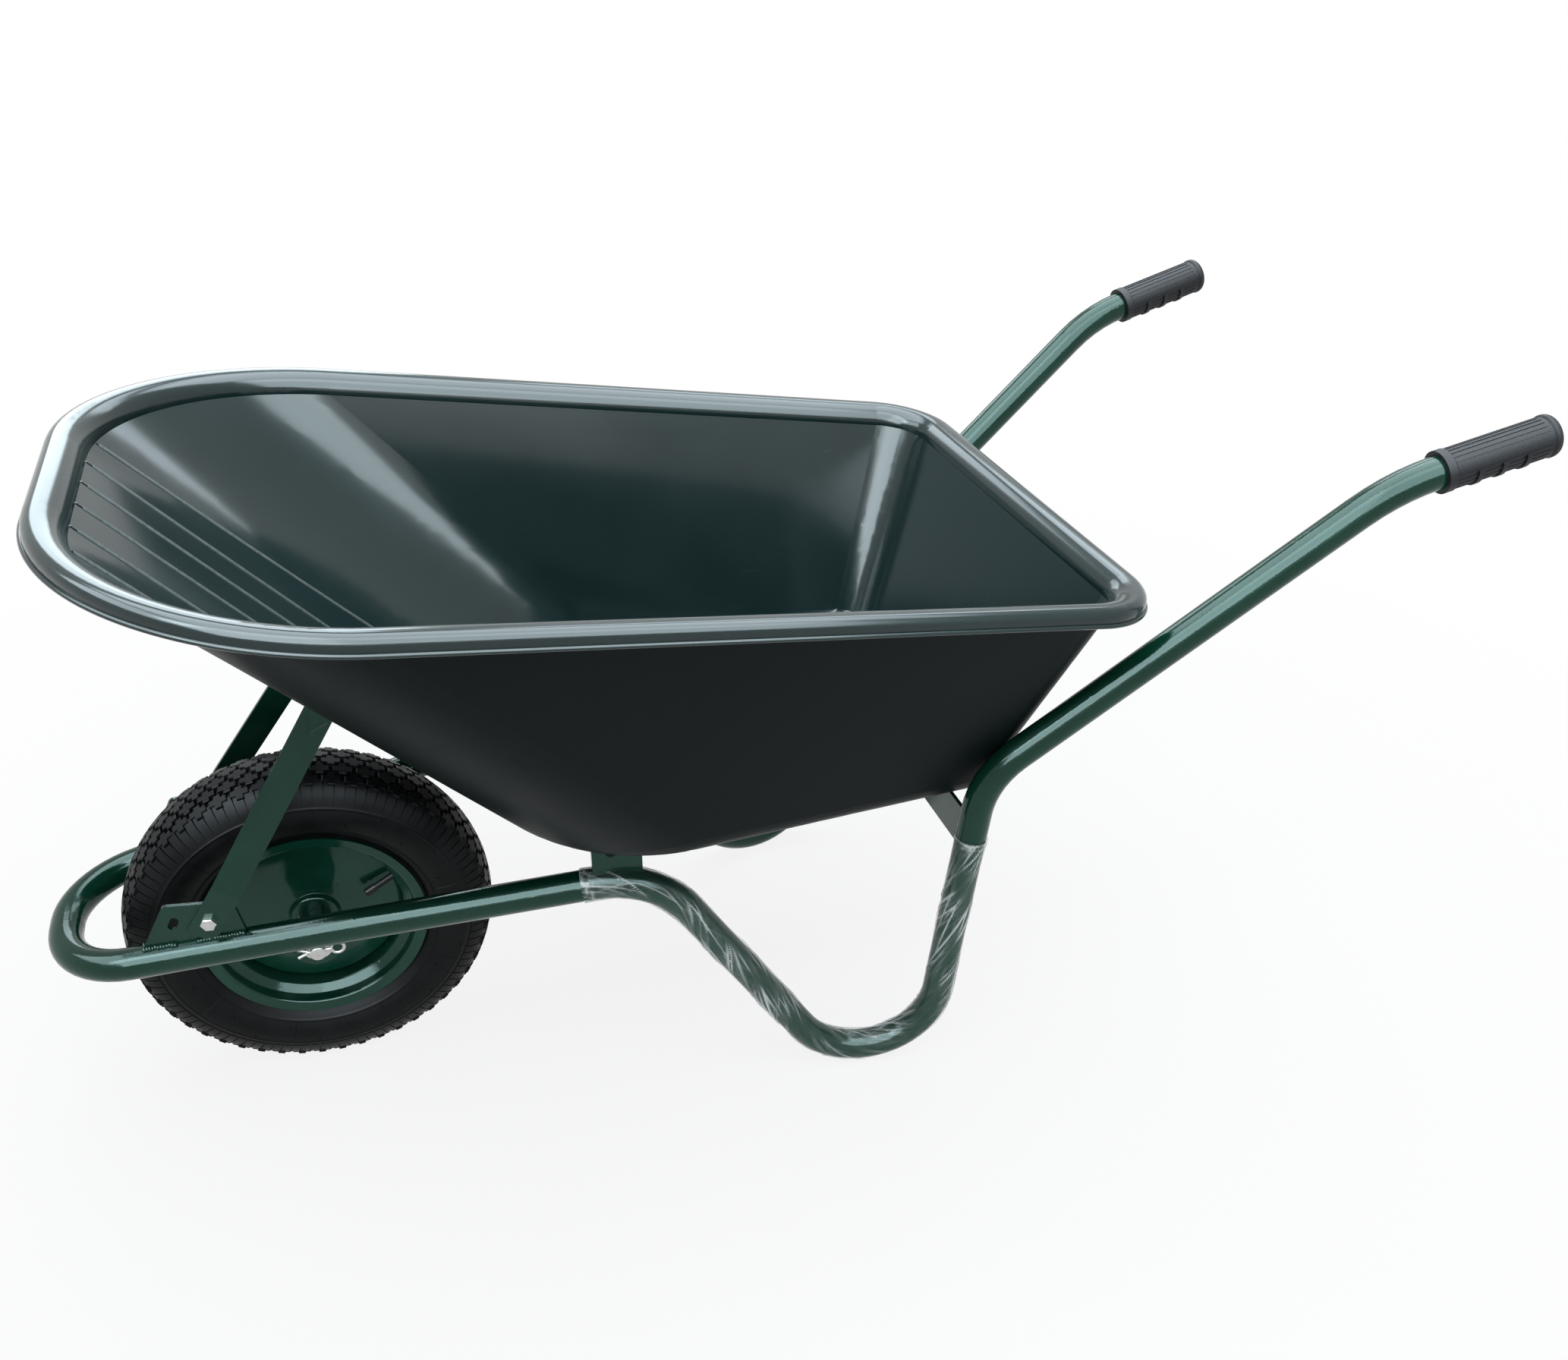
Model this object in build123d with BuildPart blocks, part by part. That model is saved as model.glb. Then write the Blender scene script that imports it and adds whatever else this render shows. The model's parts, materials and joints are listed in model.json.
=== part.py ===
import os
from math import atan2, cos, radians, sin, sqrt, tan

from build123d import *

os.makedirs("parts", exist_ok=True)

# Wheelbarrow with a moulded tray and a single bent-tube frame, in millimetres and degrees.
# X runs back towards the grips, Y to the user's right and Z up. The floor is Z = 0.

# Frame tube. Heights and angles are those of its axis, in the upright plane of each side.
tube_diameter = 32.0
tube_wall = 1.5
nose_reach = 233.0
nose_radius = 78.0
run_height = 242.0
run_pitch = 6.7
spread = 224.0
splay = 9.54
front_bend_reach = 336.6
front_bend_radius = 100.0
front_leg_angle = 55.9
foot_radius = 82.0
rear_leg_lean = 5.0
rear_bend_height = 368.5
rear_bend_radius = 95.0
handle_angle = 39.2
handle_length = 461.0
handle_bend_radius = 180.0
grip_angle = 14.8
grip_splay = 4.8
grip_run = 151.0
weld_gap = 0.2

# Grips
grip_length = 110.0
grip_fit = 0.1
grip_wall = 2.6
grip_end_wall = 5.0
grip_end_round = 6.0
grip_collar = 1.6
grip_collar_width = 8.0
flute_count = 24
flute_width = 1.6
flute_height = 0.7
finger_count = 3
finger_pitch = 24.0
finger_width = 5.0
finger_height = 2.2

# Wheel
tyre_diameter = 372.0
tyre_width = 88.0
tyre_widest = 146.0
tread_depth = 5.0
crown_half = 31.0
crown_drop = 6.0
tyre_wall = 6.0
bead_half = 32.5
bead_radius = 105.0
bead_height = 9.5
bead_step = 4.5
bead_rise = 6.3
block_count = 48
block_long = 17.0
block_wide = 16.0
block_notch = 4.2
block_root = 1.5
row_stagger = 0.5
side_row_offset = 21.0
tube_ring_section = 31.0
tube_ring_gap = 0.4
tube_ring_wall = 2.0
flange_radius = 113.0
flange_half = 35.5
seat_radius = 102.6
seat_half = 34.3
shelf_radius = 101.0
shelf_half = 24.0
well_radius = 92.0
well_half = 17.0
rim_wall = 2.4
rim_bend = 3.0
dish_wall = 2.2
dish_edge = 9.0
dish_back = 4.0
dish_front = 11.0
dish_step_outer = 66.0
dish_step_inner = 58.0
dish_bend = 4.0
dish_fit = 0.1
hub_diameter = 33.0
hub_bore = 26.0
hub_half = 56.0
bush_length = 16.0
bush_flange = 3.0
bush_flange_diameter = 32.0
bush_fit = 0.02
running_fit = 0.05
valve_angle = 22.0
valve_diameter = 7.0
valve_neck = 5.0
valve_root_radius = 96.0
valve_tip_radius = 64.0
valve_root_offset = 13.0
valve_tip_offset = 20.0
valve_fit = 0.2
cap_diameter = 8.6
cap_length = 12.0
cap_grip = 6.0
cap_round = 1.5

# Axle, its brackets and its split pins
axle_diameter = 16.0
axle_half = 80.0
axle_chamfer = 1.0
axle_hole_fit = 0.2
axle_washer_diameter = 30.0
axle_washer_thickness = 2.7
axle_washer_gap = 0.3
axle_bracket_thickness = 4.0
axle_bracket_width = 64.0
axle_bracket_round = 24.0
axle_bracket_rise = 8.0
axle_bracket_bend = 8.0
pin_diameter = 4.6
pin_fit = 0.2
pin_front = 11.0
pin_back = 13.0
pin_eye_radius = 6.4
pin_eye_wire = 1.9
pin_leg = 11.0
pin_leg_wire = 1.6
pin_leg_spread = 24.0

# Tray. Reaches are from the axle; the rim plane falls towards the rear.
rim_front = -142.3
rim_rear = 797.9
rim_front_height = 691.0
rim_pitch = 7.46
rim_half_front = 327.7
rim_half_rear = 287.4
rim_front_round = 239.3
rim_rear_round = 77.6
lip_width = 32.0
lip_drop = 21.0
lip_round = 9.0
lip_inner_round = 20.0
lip_wall = 4.0
skirt_drop = 16.0
bead_out = 1.2
bead_drop = 3.0
floor_height = 326.0
floor_front = 190.4
floor_rear = 682.9
floor_half_front = 228.0
floor_half_rear = 189.6
floor_front_round = 184.6
floor_rear_round = 36.0
floor_wall = 4.0
slope_thickness = 4.4
floor_inset = 2.2
floor_edge_round = 28.0
line_count = 6
line_pitch = 48.0
line_width = 2.4
line_height = 1.0
line_rear = 200.0
stud_diameter = 10.0
stud_drop = 8.0
stud_round = 3.0
stud_half_spread = 174.0
stud_front = 288.0
stud_pitch = 24.0

# Cross members
front_member_reach = 296.0
front_member_width = 50.0
front_member_thickness = 5.0
front_member_bend = 9.0
front_member_drop = 46.0
rear_member_reach = 642.0
rear_member_height = 45.0
rear_member_thickness = 4.0
rear_member_flange = 40.0
rear_member_flange_half = 150.0
rear_member_half = 222.0

# Strut brackets and struts
bracket_thickness = 4.0
bracket_bottom_front = -152.0
bracket_top_front = -125.0
bracket_top_rear = -62.0
bracket_bottom_rear = -56.0
bracket_top = 289.0
bracket_round = 6.0
bolt_reach = -86.0
bolt_height = 269.0
slot_reach = -119.0
slot_height = 268.0
slot_long = 15.0
slot_wide = 8.0
slot_turn = 62.0
strut_width = 28.0
strut_thickness = 3.0
strut_bend = 12.0
strut_pad_below = 21.0
strut_pad_above = 38.0
strut_top_reach = 55.6
strut_top_half = 66.0
dimple_width = 22.0
dimple_height = 18.0
dimple_depth = 1.6
dimple_below = 32.0
flange_width = 32.0
flange_reach = 42.0
strut_overrun = 40.0
trim_size = 400.0

# Fasteners
strut_bolt_diameter = 8.0
strut_bolt_head = 13.0
strut_bolt_head_height = 5.3
strut_bolt_chamfer = 0.6
strut_bolt_tail = 4.0
strut_nut_height = 6.5
tray_bolt_diameter = 6.0
tray_bolt_head = 16.0
tray_bolt_head_height = 4.0
tray_bolt_taper = 35.0
tray_bolt_tail = 3.0
floor_bolt_head = 12.0
floor_bolt_cone = 45.0
tray_nut_across = 10.0
tray_nut_height = 5.0
tray_washer_diameter = 14.0
tray_washer_thickness = 1.6
bolt_fit = 0.3
seat_gap = 0.05
floor_bolt_half = 60.0
rear_bolt_reach = 620.0
flange_bolt_half = 44.0

# Values that follow from the driving dimensions
tube_radius = tube_diameter / 2
tyre_radius = tyre_diameter / 2
axle_height = tyre_radius
splay_cos = cos(radians(splay))
splay_sin = sin(radians(splay))
run_slope = tan(radians(run_pitch))
nose_along = -nose_reach / splay_cos

front_bend_height = run_height + front_bend_reach * run_slope
foot_turn = radians(front_leg_angle + 90 - rear_leg_lean) / 2
foot_up = (sin(radians(front_leg_angle)) + cos(radians(rear_leg_lean))) / (2 * sin(foot_turn))
foot_vertex_height = tube_radius + foot_radius - foot_radius * foot_up / cos(foot_turn)
foot_vertex_reach = front_bend_reach + (front_bend_height - foot_vertex_height) / tan(
    radians(front_leg_angle)
)
rear_bend_reach = foot_vertex_reach + (rear_bend_height - foot_vertex_height) * tan(
    radians(rear_leg_lean)
)
handle_bend_reach = rear_bend_reach + handle_length * cos(radians(handle_angle))
handle_bend_height = rear_bend_height + handle_length * sin(radians(handle_angle))

# The grip's axis on the left side, and how far the grips reach behind the axle
grip_axis = Vector(
    cos(radians(grip_angle)) * cos(radians(grip_splay)),
    -cos(radians(grip_angle)) * sin(radians(grip_splay)),
    sin(radians(grip_angle)),
)
grip_radius = tube_radius + grip_fit + grip_wall
grip_end_radius = grip_radius + grip_collar
grip_tip_reach = handle_bend_reach * splay_cos + (grip_run + grip_end_wall) * grip_axis.X
rear_reach = (
    grip_tip_reach
    + (grip_end_radius - grip_end_round) * sqrt(1 - grip_axis.X**2)
    + grip_end_round * (1 - grip_axis.X)
)
front_reach = nose_reach + tube_radius
axle_x = (front_reach - rear_reach) / 2


def side_point(along, height, side):
    """A point of the frame's side plane: side is -1 on the left and 1 on the right."""
    across = spread / 2 + along * splay_sin
    return Vector(axle_x + along * splay_cos, side * across, height)


def run_axis_height(along):
    return run_height + along * run_slope


left_plane = Plane(
    origin=side_point(0, 0, -1),
    x_dir=(splay_cos, -splay_sin, 0),
    z_dir=(-splay_sin, -splay_cos, 0),
)
wheel_plane = Plane(origin=(axle_x, 0, axle_height), x_dir=(0, 1, 0), z_dir=(1, 0, 0))
wheel_axis = Axis((axle_x, 0, axle_height), (0, 1, 0))


def handle_points(side):
    """The tube's corner points from the grip's end to the nose."""
    bend = side_point(handle_bend_reach, handle_bend_height, side)
    along = Vector(grip_axis.X, -side * grip_axis.Y, grip_axis.Z)
    return [
        bend + along * grip_run,
        bend,
        side_point(rear_bend_reach, rear_bend_height, side),
        side_point(foot_vertex_reach, foot_vertex_height, side),
        side_point(front_bend_reach, front_bend_height, side),
        side_point(nose_along, run_axis_height(nose_along), side),
    ]


left_points = handle_points(-1)
right_points = handle_points(1)
side_radii = [handle_bend_radius, rear_bend_radius, foot_radius, front_bend_radius, nose_radius]

# Frame tube
with BuildLine() as tube_path:
    FilletPolyline(*left_points, *reversed(right_points), radius=side_radii + side_radii[::-1])

tube_start = Plane(origin=tube_path.wire() @ 0, z_dir=tube_path.wire() % 0)

with BuildPart() as frame_tube:
    with BuildSketch(tube_start):
        Circle(tube_radius)
        Circle(tube_radius - tube_wall, mode=Mode.SUBTRACT)
    sweep(path=tube_path.wire())

# The room the tube takes up, for coping what is welded to it
with BuildPart() as tube_room:
    with BuildSketch(tube_start):
        Circle(tube_radius + weld_gap)
    sweep(path=tube_path.wire())

# Grips
grip_tube_end = left_points[0]
grip_up = Vector(-grip_axis.Y, grip_axis.X, 0).normalized()
grip_start_plane = Plane(
    origin=grip_tube_end - grip_axis * grip_length, x_dir=grip_up, z_dir=grip_axis
)
grip_section = Plane(origin=grip_tube_end, x_dir=grip_axis, z_dir=grip_up)
grip_bore = tube_radius + grip_fit

with BuildPart() as grip_left:
    with BuildSketch(grip_section):
        with BuildLine():
            Polyline(
                (-grip_length, grip_bore),
                (-grip_length, grip_end_radius),
                (-grip_length + grip_collar_width, grip_end_radius),
                (-grip_length + grip_collar_width + grip_collar, grip_radius),
                (grip_end_wall - grip_collar_width - grip_collar, grip_radius),
                (grip_end_wall - grip_collar_width, grip_end_radius),
                (grip_end_wall, grip_end_radius),
                (grip_end_wall, 0),
                (0, 0),
                (0, grip_bore),
                close=True,
            )
        make_face()
    revolve(axis=Axis(grip_tube_end, grip_axis))
    fillet(
        edges().filter_by(GeomType.CIRCLE).sort_by(Axis(grip_tube_end, grip_axis))[-1],
        radius=grip_end_round,
    )
    with BuildSketch(grip_start_plane.offset(grip_collar_width)):
        with PolarLocations(grip_radius, flute_count):
            Rectangle(2 * flute_height, flute_width)
    extrude(amount=grip_length - 2 * grip_collar_width)
    for step in range(finger_count):
        place = grip_length / 2 + (step - (finger_count - 1) / 2) * finger_pitch
        with BuildSketch(grip_start_plane.offset(place - finger_width / 2)):
            Circle(grip_radius + finger_height)
            Circle(grip_radius - grip_fit, mode=Mode.SUBTRACT)
            with Locations((0, grip_end_radius)):
                Rectangle(3 * grip_end_radius, 2 * grip_end_radius, mode=Mode.SUBTRACT)
        extrude(amount=finger_width)

with BuildPart() as grip_right:
    mirror(grip_left.part, about=Plane.XZ)

# Strut brackets, standing on the tube
bolt_along = bolt_reach / splay_cos
slot_along = slot_reach / splay_cos
bracket_ends = [bracket_bottom_front / splay_cos, bracket_bottom_rear / splay_cos]

with BuildPart() as strut_bracket_left:
    with BuildSketch(left_plane):
        with BuildLine():
            Polyline(
                (bracket_ends[0], run_axis_height(bracket_ends[0])),
                (bracket_ends[0], run_axis_height(bracket_ends[0]) + tube_radius + weld_gap),
                (bracket_top_front / splay_cos, bracket_top),
                (bracket_top_rear / splay_cos, bracket_top),
                (bracket_ends[1], run_axis_height(bracket_ends[1]) + tube_radius + weld_gap),
                (bracket_ends[1], run_axis_height(bracket_ends[1])),
                close=True,
            )
        make_face()
        fillet(vertices().sort_by(Axis.Y)[-2:], bracket_round)
        with Locations((bolt_along, bolt_height)):
            Circle(strut_bolt_diameter / 2 + bolt_fit, mode=Mode.SUBTRACT)
        with Locations((slot_along, slot_height)):
            SlotOverall(slot_long, slot_wide, rotation=slot_turn, mode=Mode.SUBTRACT)
    extrude(amount=bracket_thickness / 2, both=True)
    add(tube_room.part, mode=Mode.SUBTRACT)

with BuildPart() as strut_bracket_right:
    mirror(strut_bracket_left.part, about=Plane.XZ)

# Tray: the rim's plane and the outlines of rim and floor
rim_cos = cos(radians(rim_pitch))
rim_sin = sin(radians(rim_pitch))
rim_plane = Plane(
    origin=(axle_x + rim_front, 0, rim_front_height),
    x_dir=(rim_cos, 0, -rim_sin),
    z_dir=(rim_sin, 0, rim_cos),
)
rim_axis = Axis(rim_plane.origin, rim_plane.z_dir)
rim_long = (rim_rear - rim_front) / rim_cos
floor_plane = Plane(
    origin=(axle_x + floor_front, 0, floor_height), x_dir=(1, 0, 0), z_dir=(0, 0, 1)
)
floor_long = floor_rear - floor_front


def outline(length, half_front, half_rear, round_front, round_rear, inset):
    """A tapered outline with rounded corners, moved in by inset, from its front edge back."""
    with BuildSketch() as shape:
        with BuildLine():
            Polyline(
                (0, -half_front), (length, -half_rear), (length, half_rear), (0, half_front), close=True
            )
        make_face()
        fillet(vertices().sort_by(Axis.X)[:2], round_front)
        fillet(vertices().sort_by(Axis.X)[-2:], round_rear)
        if inset:
            offset(amount=-inset, mode=Mode.REPLACE)
    return shape.sketch


def rim_outline(inset):
    return outline(rim_long, rim_half_front, rim_half_rear, rim_front_round, rim_rear_round, inset)


def floor_outline(inset):
    return outline(
        floor_long, floor_half_front, floor_half_rear, floor_front_round, floor_rear_round, inset
    )


wall_top = rim_plane.offset(-lip_drop)
inner_floor = floor_plane.offset(floor_wall)

with BuildPart() as tray_outside:
    with BuildSketch(floor_plane):
        add(floor_outline(0))
    with BuildSketch(wall_top):
        add(rim_outline(lip_width - lip_wall))
    loft(ruled=True)
    fillet(faces().sort_by(Axis.Z)[0].edges(), radius=floor_edge_round + floor_wall)

with BuildPart() as tray_inside:
    with BuildSketch(inner_floor):
        add(floor_outline(floor_inset))
    with BuildSketch(wall_top):
        add(rim_outline(lip_width))
    loft(ruled=True)
    fillet(faces().sort_by(Axis.Z)[0].edges(), radius=floor_edge_round)

with BuildPart() as line_room:
    with BuildSketch(inner_floor.offset(line_height)):
        add(floor_outline(floor_inset + line_height / 2))
    with BuildSketch(wall_top):
        add(rim_outline(lip_width + line_height))
    loft(ruled=True)
    fillet(faces().sort_by(Axis.Z)[0].edges(), radius=floor_edge_round)

# Raised lines that follow the front slope
with BuildPart() as front_lines:
    with BuildSketch(floor_plane):
        with Locations(((rim_front + line_rear) / 2 - floor_front, 0)):
            with GridLocations(0, line_pitch, 1, line_count):
                Rectangle(line_rear - rim_front, line_width)
    extrude(amount=rim_front_height - floor_height)
    add(tray_inside.part, mode=Mode.INTERSECT)
    add(line_room.part, mode=Mode.SUBTRACT)

# The hollow below the rolled lip
with BuildPart() as lip_hollow:
    with BuildSketch(rim_plane.offset(-lip_wall)):
        add(rim_outline(lip_wall))
        add(rim_outline(lip_width - lip_wall), mode=Mode.SUBTRACT)
    extrude(amount=-lip_drop)
    hollow_top = faces().sort_by(rim_axis)[-1]
    fillet(hollow_top.outer_wire().edges(), radius=lip_round - lip_wall)
    hollow_top = faces().sort_by(rim_axis)[-1]
    fillet(hollow_top.inner_wires()[0].edges(), radius=lip_inner_round - lip_wall)

slope_top = wall_top.from_local_coords((lip_width - lip_wall, 0, 0))
slope_foot = Vector(axle_x + floor_front, 0, floor_height)
slope_along = (slope_foot - slope_top).normalized()
slope_up = Vector(-slope_along.Z, 0, slope_along.X)


def slope_point(reach, across):
    """A point of the front slope's outer face, at a reach behind the axle."""
    run = (axle_x + reach - slope_foot.X) / slope_along.X
    return slope_foot + slope_along * run + Vector(0, across, 0)


def slope_plane(reach, across):
    return Plane(origin=slope_point(reach, across), x_dir=slope_along, z_dir=slope_up)


def floor_plane_at(reach, across):
    return Plane(origin=(axle_x + reach, across, floor_height), x_dir=(1, 0, 0), z_dir=(0, 0, 1))


flange_bolt_plane = slope_plane(strut_top_reach, 0)
floor_bolt_places = [
    (front_member_reach, -floor_bolt_half),
    (front_member_reach, floor_bolt_half),
    (rear_bolt_reach, -floor_bolt_half),
    (rear_bolt_reach, floor_bolt_half),
]
floor_bolt_plane = Plane(origin=(axle_x, 0, floor_height), x_dir=(1, 0, 0), z_dir=(0, 0, 1))

with BuildPart() as tray:
    add(tray_outside.part)
    add(tray_inside.part, mode=Mode.SUBTRACT)
    with BuildSketch(rim_plane):
        add(rim_outline(0))
        add(rim_outline(lip_width), mode=Mode.SUBTRACT)
    extrude(amount=-skirt_drop)
    with BuildSketch(rim_plane):
        add(rim_outline(lip_width - lip_wall))
        add(rim_outline(lip_width), mode=Mode.SUBTRACT)
    extrude(amount=-lip_drop)
    with BuildSketch(rim_plane.offset(-skirt_drop)):
        add(rim_outline(-bead_out))
        add(rim_outline(lip_wall), mode=Mode.SUBTRACT)
    extrude(amount=bead_drop)
    lip_top = faces().sort_by(rim_axis)[-1]
    fillet(lip_top.outer_wire().edges(), radius=lip_round)
    lip_top = faces().sort_by(rim_axis)[-1]
    fillet(lip_top.inner_wires()[0].edges(), radius=lip_inner_round)
    add(lip_hollow.part, mode=Mode.SUBTRACT)
    add(front_lines.part)
    for side in (-1, 1):
        for step in (0, 1):
            with BuildSketch(floor_bolt_plane):
                with Locations((stud_front + step * stud_pitch, side * stud_half_spread)):
                    Circle(stud_diameter / 2)
            extrude(amount=-stud_drop)
    fillet(edges().group_by(Axis.Z)[0], radius=stud_round)
    with Locations(floor_bolt_plane.offset(floor_wall)):
        with Locations(*floor_bolt_places):
            CounterSinkHole(
                tray_bolt_diameter / 2 + bolt_fit,
                floor_bolt_head / 2 + bolt_fit,
                depth=2 * floor_wall,
                counter_sink_angle=2 * floor_bolt_cone,
            )
    with BuildSketch(flange_bolt_plane):
        with Locations((0, -flange_bolt_half), (0, flange_bolt_half)):
            Circle(tray_bolt_diameter / 2 + bolt_fit)
    extrude(amount=3 * floor_wall, both=True, mode=Mode.SUBTRACT)

# Struts: a strip folded inward at the pad, ending in a flange under the front slope
strut_bolt_point = left_plane.from_local_coords((bolt_along, bolt_height, bracket_thickness / 2))
strut_top = slope_point(strut_top_reach, -strut_top_half)
outward = left_plane.z_dir
strut_line = strut_top - strut_bolt_point
pad_along = (strut_line - outward * strut_line.dot(outward)).normalized()
strut_profile = Plane(origin=strut_bolt_point, x_dir=pad_along, z_dir=pad_along.cross(outward))
top_local = strut_profile.to_local_coords(strut_top)
strut_lean = atan2(-top_local.Y, top_local.X - strut_pad_above)
strut_end = Vector(
    top_local.X + strut_overrun * cos(strut_lean), top_local.Y - strut_overrun * sin(strut_lean)
)
half_strip = strut_thickness / 2
strip_fold = strut_profile.from_local_coords((strut_pad_above, strut_thickness, 0))
strip_along = (strut_top - strut_profile.from_local_coords((strut_pad_above, 0, 0))).normalized()
strip_out = strip_along.cross(strut_profile.z_dir) * -1
strip_long = (strut_top - strip_fold).length
strip_plane = Plane(origin=strip_fold, x_dir=strip_along, z_dir=strip_out)

with BuildPart() as tray_strut_left:
    with BuildSketch(strut_profile):
        with BuildLine():
            FilletPolyline(
                (-strut_pad_below, half_strip),
                (strut_pad_above, half_strip),
                (strut_end.X, strut_end.Y + half_strip),
                radius=strut_bend,
            )
        trace(line_width=strut_thickness)
    extrude(amount=strut_width / 2, both=True)
    with BuildSketch(strip_plane.offset(-dimple_depth)):
        with BuildLine():
            Polyline(
                (strip_long - dimple_below - dimple_height / 2, 0),
                (strip_long - dimple_below + dimple_height / 2, dimple_width / 2),
                (strip_long - dimple_below + dimple_height / 2, -dimple_width / 2),
                close=True,
            )
        make_face()
    extrude(amount=2 * dimple_depth, mode=Mode.SUBTRACT)
    with Locations(flange_bolt_plane):
        Box(
            trim_size,
            trim_size,
            trim_size,
            align=(Align.CENTER, Align.CENTER, Align.MIN),
            mode=Mode.SUBTRACT,
        )
    with BuildSketch(flange_bolt_plane):
        with Locations((0, -strut_top_half + flange_reach / 2)):
            Rectangle(flange_width, flange_reach)
    extrude(amount=-strut_thickness)
    with BuildSketch(Plane(origin=strut_bolt_point, x_dir=pad_along, z_dir=outward)):
        Circle(strut_bolt_diameter / 2 + bolt_fit)
    extrude(amount=2 * strut_thickness, both=True, mode=Mode.SUBTRACT)
    add(tube_room.part, mode=Mode.SUBTRACT)
    with BuildSketch(flange_bolt_plane):
        with Locations((0, -flange_bolt_half)):
            Circle(tray_bolt_diameter / 2 + bolt_fit)
    extrude(amount=-3 * strut_thickness, mode=Mode.SUBTRACT)

with BuildPart() as tray_strut_right:
    mirror(tray_strut_left.part, about=Plane.XZ)

# Cross members under the tray's floor
front_member_plane = Plane(
    origin=(axle_x + front_member_reach, 0, 0), x_dir=(0, 1, 0), z_dir=(1, 0, 0)
)
front_member_half = spread / 2 + front_member_reach * tan(radians(splay))
front_member_mid = floor_height - front_member_thickness / 2

with BuildPart() as front_cross_member:
    with BuildSketch(front_member_plane):
        with BuildLine():
            FilletPolyline(
                (-front_member_half, floor_height - front_member_drop),
                (-front_member_half, front_member_mid),
                (front_member_half, front_member_mid),
                (front_member_half, floor_height - front_member_drop),
                radius=front_member_bend,
            )
        trace(line_width=front_member_thickness)
    extrude(amount=front_member_width / 2, both=True)
    add(tube_room.part, mode=Mode.SUBTRACT)
    with BuildSketch(floor_bolt_plane):
        with Locations(*floor_bolt_places[:2]):
            Circle(tray_bolt_diameter / 2 + bolt_fit)
    extrude(amount=-2 * front_member_thickness, mode=Mode.SUBTRACT)

rear_member_plane = Plane(
    origin=(axle_x + rear_member_reach, 0, floor_height), x_dir=(0, 1, 0), z_dir=(1, 0, 0)
)

with BuildPart() as rear_cross_member:
    with BuildSketch(rear_member_plane):
        with Locations((0, -rear_member_height / 2)):
            Rectangle(2 * rear_member_half, rear_member_height)
    extrude(amount=rear_member_thickness)
    with BuildSketch(rear_member_plane):
        with Locations((0, -rear_member_thickness / 2)):
            Rectangle(2 * rear_member_flange_half, rear_member_thickness)
    extrude(amount=-rear_member_flange)
    add(tube_room.part, mode=Mode.SUBTRACT)
    with BuildSketch(floor_bolt_plane):
        with Locations(*floor_bolt_places[2:]):
            Circle(tray_bolt_diameter / 2 + bolt_fit)
    extrude(amount=-2 * rear_member_thickness, mode=Mode.SUBTRACT)

# Axle brackets
bracket_inner = hub_half + bush_flange + axle_washer_gap + axle_washer_thickness
bracket_mid = bracket_inner + axle_bracket_thickness / 2
bracket_level = run_height + axle_bracket_rise - axle_height

with BuildPart() as axle_bracket_left:
    with BuildSketch(wheel_plane):
        with BuildLine():
            FilletPolyline(
                (-spread / 2, bracket_level),
                (-bracket_mid, bracket_level),
                (-bracket_mid, -axle_bracket_round),
                radius=axle_bracket_bend,
            )
        trace(line_width=axle_bracket_thickness)
    extrude(amount=axle_bracket_width / 2, both=True)
    with BuildSketch(Plane(origin=(axle_x, 0, axle_height), x_dir=(1, 0, 0), z_dir=(0, -1, 0))):
        Circle(axle_bracket_round)
        with BuildLine():
            Polyline(
                (-axle_bracket_round, 0),
                (axle_bracket_round, 0),
                (axle_bracket_width / 2, bracket_level - axle_bracket_bend),
                (axle_bracket_width / 2, bracket_level + axle_bracket_thickness),
                (-axle_bracket_width / 2, bracket_level + axle_bracket_thickness),
                (-axle_bracket_width / 2, bracket_level - axle_bracket_bend),
                close=True,
            )
        make_face()
        Circle(axle_diameter / 2 + axle_hole_fit, mode=Mode.SUBTRACT)
    extrude(amount=spread, mode=Mode.INTERSECT)
    add(tube_room.part, mode=Mode.SUBTRACT)

with BuildPart() as axle_bracket_right:
    mirror(axle_bracket_left.part, about=Plane.XZ)

# Axle, washers and split pins
axle_plane = Plane(origin=(axle_x, 0, axle_height), x_dir=(1, 0, 0), z_dir=(0, -1, 0))
outer_washer = bracket_inner + axle_bracket_thickness
pin_across = outer_washer + axle_washer_thickness + pin_fit + pin_eye_wire + pin_diameter / 2

with BuildPart() as axle:
    with BuildSketch(axle_plane):
        Circle(axle_diameter / 2)
    extrude(amount=axle_half, both=True)
    chamfer(edges().filter_by(GeomType.CIRCLE), length=axle_chamfer)
    with BuildSketch(wheel_plane):
        with Locations((-pin_across, 0), (pin_across, 0)):
            Circle(pin_diameter / 2 + pin_fit)
    extrude(amount=axle_diameter, both=True, mode=Mode.SUBTRACT)

with BuildPart() as axle_washers:
    for start in (bracket_inner - axle_washer_thickness, outer_washer):
        for side in (-1, 1):
            with BuildSketch(axle_plane.offset(side * start)):
                Circle(axle_washer_diameter / 2)
                Circle(axle_diameter / 2 + axle_hole_fit, mode=Mode.SUBTRACT)
            extrude(amount=side * axle_washer_thickness)

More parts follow.
